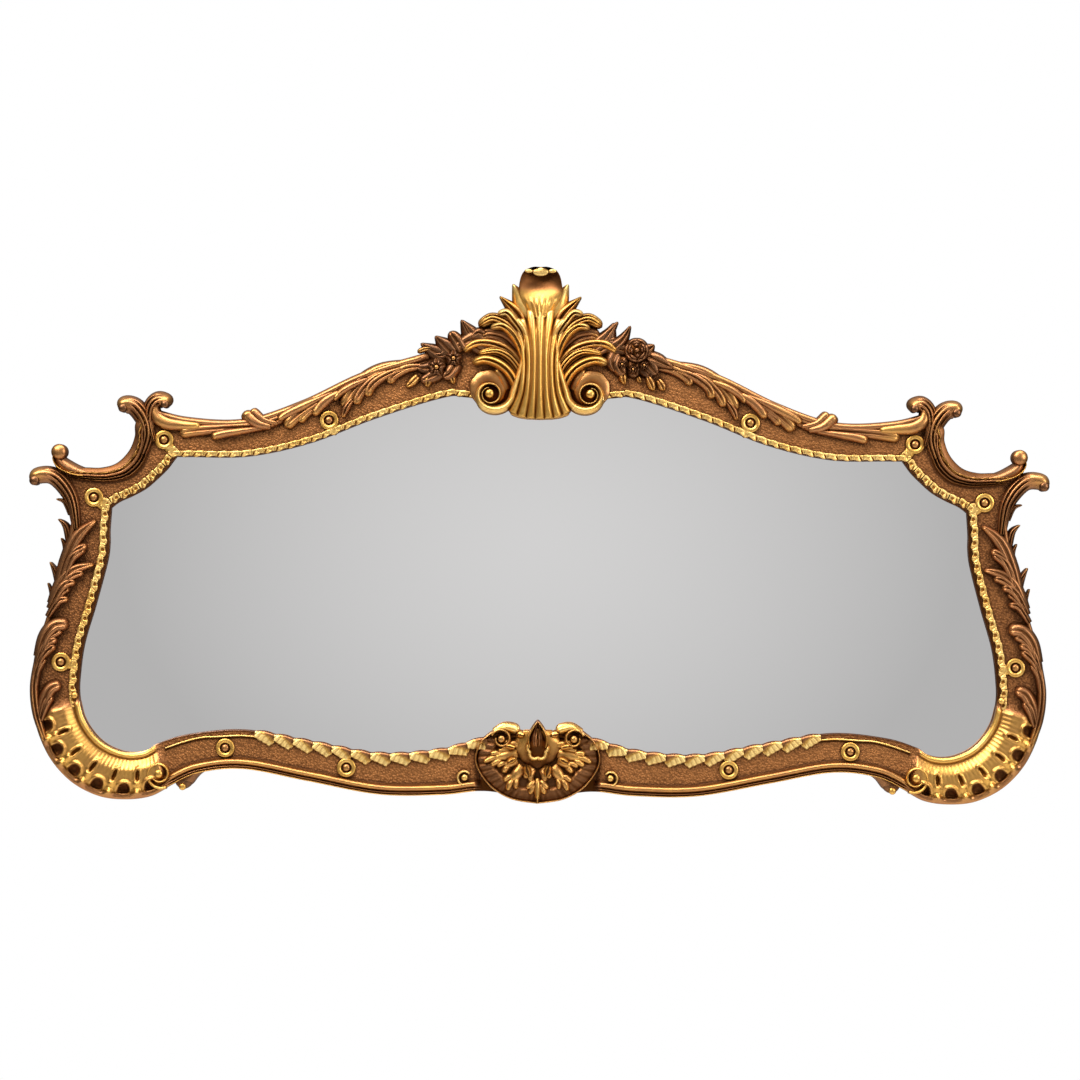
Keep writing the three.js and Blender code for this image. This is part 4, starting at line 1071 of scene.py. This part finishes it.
# How long each fold is to its pitch, so that it runs on beneath the next one.
OVERLAP = {"top": 1.02, "scroll": 1.02, "side": 1.02, "bottom": 1.14}
# How far along the top rail the ribbon starts, in mm, and its ends on the bottom rail, as shares of the rail.
TOP_START = 86
BOTTOM_PART = (0.272, 0.845)
# How far the ribbon's foot lies over the ground of the rails, in mm.
RIBBON_LIFT = 0.5


def edge_ornament(stations, position, lengths, finish):
    """The folded ribbon of the sight edge, on the left half."""
    tree = follow_tree()
    carving = Carving()
    starts = np.concatenate([[0], np.cumsum(lengths)])
    for n, kind in enumerate(RAILS):
        if kind not in RIBBONS:
            continue
        make, pitch, tall, rise, inset, more = RIBBONS[kind]
        low, high = starts[n], starts[n + 1]
        if kind == "top":
            low += TOP_START
        if kind == "bottom":
            low, high = [low + (high - low) * part for part in BOTTOM_PART]
        chosen = (position >= low) & (position <= high)
        rows = stations[chosen]
        way = (rows[:, :2] - rows[:, 2:]) * [SQUARE, RISE]
        way = way / np.linalg.norm(way, axis=1, keepdims=True) * inset / 1000 / [SQUARE, RISE]
        path = at(LEFT, rows[:, 2] + way[:, 0], rows[:, 3] + way[:, 1], GROUND + RIBBON_LIFT)
        run = np.linalg.norm(np.diff(path, axis=0), axis=1).sum() * 1000
        count = round(run / pitch)
        shape = make(kind + " fold", run / count * OVERLAP[kind], tall, rise, *more, finish)
        carving.join(carving_of(set_along(kind, tree, path, shape, count, finish)))
        bpy.data.objects.remove(shape)
    return carving


class Value:
    """A shader socket that takes part in sums, so that a pattern is written as an expression."""

    def __init__(self, nodes, socket):
        self.nodes, self.socket = nodes, socket

    def math(self, operation, *others, clamp=False):
        node = self.nodes.tree.nodes.new("ShaderNodeMath")
        node.operation, node.use_clamp = operation, clamp
        for n, value in enumerate((self, *others)):
            self.nodes.give(node.inputs[n], value)
        return Value(self.nodes, node.outputs[0])

    def __add__(self, other):
        return self.math("ADD", other)

    def __sub__(self, other):
        return self.math("SUBTRACT", other)

    def __mul__(self, other):
        return self.math("MULTIPLY", other)

    def __truediv__(self, other):
        return self.math("DIVIDE", other)

    def __rsub__(self, other):
        return self.math("MULTIPLY", -1.0).math("ADD", other)

    __radd__, __rmul__ = __add__, __mul__

    def clamp(self):
        return self.math("ADD", 0.0, clamp=True)

    def power(self, exponent):
        return self.math("POWER", exponent)

    def ramp(self, low, high):
        return ((self - low) / (high - low)).clamp()


def mix(nodes, share, a, b):
    """One colour going over to another."""
    node = nodes.tree.nodes.new("ShaderNodeMix")
    node.data_type = "RGBA"
    for socket, value in zip((node.inputs["Factor"], node.inputs[6], node.inputs[7]), (share, a, b)):
        nodes.give(socket, (*value, 1) if isinstance(value, tuple) else value)
    return node.outputs[2]


def new_material(name):
    material = bpy.data.materials.new(name)
    material.use_nodes = True
    material.node_tree.nodes.clear()
    nodes = Nodes(material.node_tree)
    shader = nodes.add("ShaderNodeBsdfPrincipled")
    nodes.add("ShaderNodeOutputMaterial", Surface=shader.outputs["BSDF"])
    return material, nodes, shader


# Colours of the gilding, as linear light, from the darkest to the palest, and of the ground, then of
# the painted shade and dirt in the crevices.
DARK_BRONZE = (0.115, 0.055, 0.028)
BRONZE = (0.46, 0.20, 0.078)
RICH_GOLD = (0.83, 0.46, 0.105)
PALE_GOLD = (0.97, 0.68, 0.24)
LEATHER = (0.36, 0.138, 0.034)
CREVICE = (0.085, 0.025, 0.003)
AMBER = (0.27, 0.095, 0.008)
# How often the clouds of wear, the grain and the punched stipple come in a metre, how deep the stipple is and
# how near a wall has to be for ambient occlusion to paint shade into a crevice, in metres.
CLOUDS, GRAIN, PUNCH = 28.0, 260.0, 330.0
PUNCH_DEPTH, CREVICE_REACH = 0.0013, 0.012


def noise(nodes, place, scale, detail):
    """A cloudy pattern from 0 to 1."""
    return nodes.value("Fac", "ShaderNodeTexNoise", Vector=place, Scale=scale, Detail=detail)


def gilding():
    """Worn gilding: bright on the edges, bronze on the leaves, brown on the ground, painted dark in shade in
    the crevices.
    """
    material, nodes, shader = new_material("old gilding")
    gilt, hollow, ground = (nodes.value("Fac", "ShaderNodeAttribute", {"attribute_name": m}) for m in MARKS)
    place = nodes.take("Object", "ShaderNodeTexCoord")
    cloud, grain = noise(nodes, place, CLOUDS, 4.0), noise(nodes, place, GRAIN, 3.0)
    punch = {"Vector": place, "Scale": PUNCH, "Smoothness": 0.3}
    pit = nodes.value("Distance", "ShaderNodeTexVoronoi", {"feature": "SMOOTH_F1"}, **punch)
    # Ambient occlusion paints shade into the crevices.
    around = nodes.value("AO", "ShaderNodeAmbientOcclusion", {"samples": 6}, Distance=CREVICE_REACH)
    gold = (gilt + (cloud - 0.5) * 0.3 + (grain - 0.5) * 0.12).clamp()
    pale = gold.ramp(0.82, 1.0)
    colour = mix(nodes, gold.ramp(0.0, 0.45), DARK_BRONZE, BRONZE)
    colour = mix(nodes, gold.ramp(0.45, 0.8), colour, RICH_GOLD)
    colour = mix(nodes, pale, colour, PALE_GOLD)
    colour = mix(nodes, ground * 0.9, colour, LEATHER)
    # Painted shade from the shade mark and the occlusion, with real wear from the clouds and the punched
    # stipple on the ground.
    closed = (1.0 - around).ramp(0.08, 0.6)
    shade_and_soil = hollow.power(1.2) * 0.85 + closed * 0.8 + (cloud - 0.58) * 0.4 * ground
    shade_and_soil = (shade_and_soil + ground * pit.ramp(0.3, 0.75) * 0.5).clamp()
    # The colour of the painted shade and dirt: dark brown under bronze, amber under gold.
    deep = mix(nodes, gold.ramp(0.4, 0.85), CREVICE, AMBER)
    nodes.give(shader.inputs["Base Color"], mix(nodes, shade_and_soil * 0.95, colour, deep))
    nodes.give(shader.inputs["Metallic"], (0.96 - 0.3 * ground - 0.35 * pale).clamp())
    nodes.give(shader.inputs["Roughness"], (0.31 + 0.12 * grain + 0.15 * shade_and_soil + 0.15 * ground).clamp())
    height = grain * 0.2 - ground * pit * 1.8
    normal = nodes.take("Normal", "ShaderNodeBump", Strength=0.6, Distance=PUNCH_DEPTH, Height=height)
    nodes.give(shader.inputs["Normal"], normal)
    return material


def plain_material(name, colour, metallic, roughness):
    """One colour, slightly clouded."""
    material, nodes, shader = new_material(name)
    cloud = noise(nodes, nodes.take("Object", "ShaderNodeTexCoord"), 90.0, 4.0)
    darker = tuple(0.8 * c for c in colour)
    nodes.give(shader.inputs["Base Color"], mix(nodes, cloud, darker, colour))
    nodes.give(shader.inputs["Roughness"], roughness + 0.08 * cloud)
    nodes.give(shader.inputs["Metallic"], metallic)
    return material


def mirror_material():
    """Silvered glass that reflects nearly all light."""
    material, nodes, shader = new_material("silvered glass")
    nodes.give(shader.inputs["Base Color"], (0.908, 0.9, 0.897, 1))
    nodes.give(shader.inputs["Metallic"], 1.0)
    nodes.give(shader.inputs["Roughness"], 0.02)
    return material


# The glow in the middle of the glass, its fall to the sides and how far out that is reached, then the grey of
# the room and what is added above.
GLOW, GLOW_FALL, GLOW_REACH = 0.705, 0.21, 0.11
ROOM, ROOM_ABOVE = 0.07, 0.5


def world():
    """Pale studio: white behind the mirror, grey in its glass."""
    made = bpy.data.worlds.new("studio")
    bpy.context.scene.world = made
    made.use_nodes = True
    made.node_tree.nodes.clear()
    nodes = Nodes(made.node_tree)
    direction = nodes.take("Generated", "ShaderNodeTexCoord")
    way = nodes.add("ShaderNodeSeparateXYZ", Vector=direction).outputs
    x, y, z = (Value(nodes, way[n]) for n in "XYZ")
    spread = (x * x + z * z * 1.7).math("SQRT") / GLOW_REACH
    glass = GLOW - GLOW_FALL * spread.clamp().power(1.6)
    above = z.ramp(-0.2, 0.8)
    facing = (0.0 - y).ramp(0.95, 0.985)
    room = ROOM + ROOM_ABOVE * above * above
    grey = room + (glass - room) * facing
    seen = nodes.value("Is Camera Ray", "ShaderNodeLightPath")
    strength = grey + (1.0 - grey) * seen
    back = nodes.take("Background", "ShaderNodeBackground", Color=(1, 1, 1, 1), Strength=strength)
    nodes.add("ShaderNodeOutputWorld", Surface=back)


# Lights that point at the mirror's middle: place and size in metres, power in watts and colour.
LIGHTS = {
    "key": ((-1.8, -2.6, 2.6), (2.0, 1.4), 135, (1, 0.98, 0.95)),
    "fill": ((2.8, -2.4, 0.8), (1.0, 2.0), 60, (1, 1, 1)),
    "top": ((0.3, -0.9, 2.4), (2.8, 0.7), 70, (1, 1, 1)),
}


def light(name, place, size, power, colour):
    """A rectangular light."""
    lamp = bpy.data.lights.new(name, "AREA")
    lamp.shape = "RECTANGLE"
    lamp.size, lamp.size_y = size
    lamp.energy, lamp.color = power, colour
    made = bpy.data.objects.new(name, lamp)
    made.location = place
    made.rotation_euler = (-Vector(place)).to_track_quat("-Z", "Y").to_euler()
    bpy.context.scene.collection.objects.link(made)


# The picture: its side in squares of the plan, the centre line's place in it and how far the mirror leans.
PICTURE_SIDE, PICTURE_MIDDLE = 1080, 539
LEAN = math.radians(0.36)
# The camera's distance from the wall and the depth it is set for, in metres, and its sensor in mm.
CAMERA_DISTANCE, FACE_DEPTH, SENSOR = 5.6, 0.03, 36


def camera():
    """A long lens straight in front of the mirror."""
    data = bpy.data.cameras.new("camera")
    made = bpy.data.objects.new("camera", data)
    bpy.context.scene.collection.objects.link(made)
    data.sensor_width = SENSOR
    data.lens = SENSOR * (CAMERA_DISTANCE - FACE_DEPTH) / (PICTURE_SIDE * SQUARE)
    made.location = ((PICTURE_SIDE / 2 - PICTURE_MIDDLE) * SQUARE, -CAMERA_DISTANCE, 0)
    made.rotation_mode = "XYZ"
    made.rotation_euler = (math.pi / 2, -LEAN, 0)
    bpy.context.scene.camera = made


# The floor's height and half its side, in metres.
FLOOR, FLOOR_HALF = -1.4, 2.5


def floor():
    """A pale square floor beneath the mirror."""
    mesh = bpy.data.meshes.new("floor")
    corners = [(x * FLOOR_HALF, y * FLOOR_HALF, FLOOR) for x, y in ((-1, -1), (1, -1), (1, 1), (-1, 1))]
    mesh.from_pydata(corners, [], [(0, 1, 2, 3)])
    made = bpy.data.objects.new("floor", mesh)
    bpy.context.scene.collection.objects.link(made)
    mesh.materials.append(plain_material("pale floor", (0.85, 0.85, 0.84), 0, 0.7))


def main():
    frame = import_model()
    gold = gilding()
    left, stations, position, lengths = rails()
    right = left.mirrored()
    pieces = [left.piece("rails_left", gold), right.piece("rails_right", gold)]

    edge = edge_ornament(stations, position, lengths, gold)
    pieces.append(edge.join(edge.mirrored()).piece("sight_edge", gold))

    for name, make in (("horns", horns), ("rail_leaves", rail_leaves), ("studs", studs), ("curls", curls)):
        half = Carving()
        make(half)
        pieces.append(half.join(half.mirrored()).piece(name, gold))

    crest = Carving()
    crest_half(crest)
    crest.join(crest.mirrored())
    crest_middle(crest)
    pieces.append(crest.piece("crest", gold))
    for name, make in (("sprays", sprays), ("cartouche", cartouche)):
        carving = Carving()
        make(carving)
        pieces.append(carving.piece(name, gold))

    for piece in pieces:
        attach(piece, "root")
        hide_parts("frame")

    finishes = {
        "mirror_glass": mirror_material(),
        "backing_board": plain_material("bare board", (0.36, 0.24, 0.14), 0, 0.75),
    }
    steel = plain_material("zinc plate", (0.6, 0.6, 0.58), 1, 0.35)
    for name, node in frame["nodes"].items():
        if name == "frame":
            continue
        node.data.materials.clear()
        node.data.materials.append(finishes.get(name, steel))

    world()
    floor()
    for name, lamp in LIGHTS.items():
        light(name, *lamp)
    camera()
    bpy.context.scene.view_settings.view_transform = "Standard"


main()
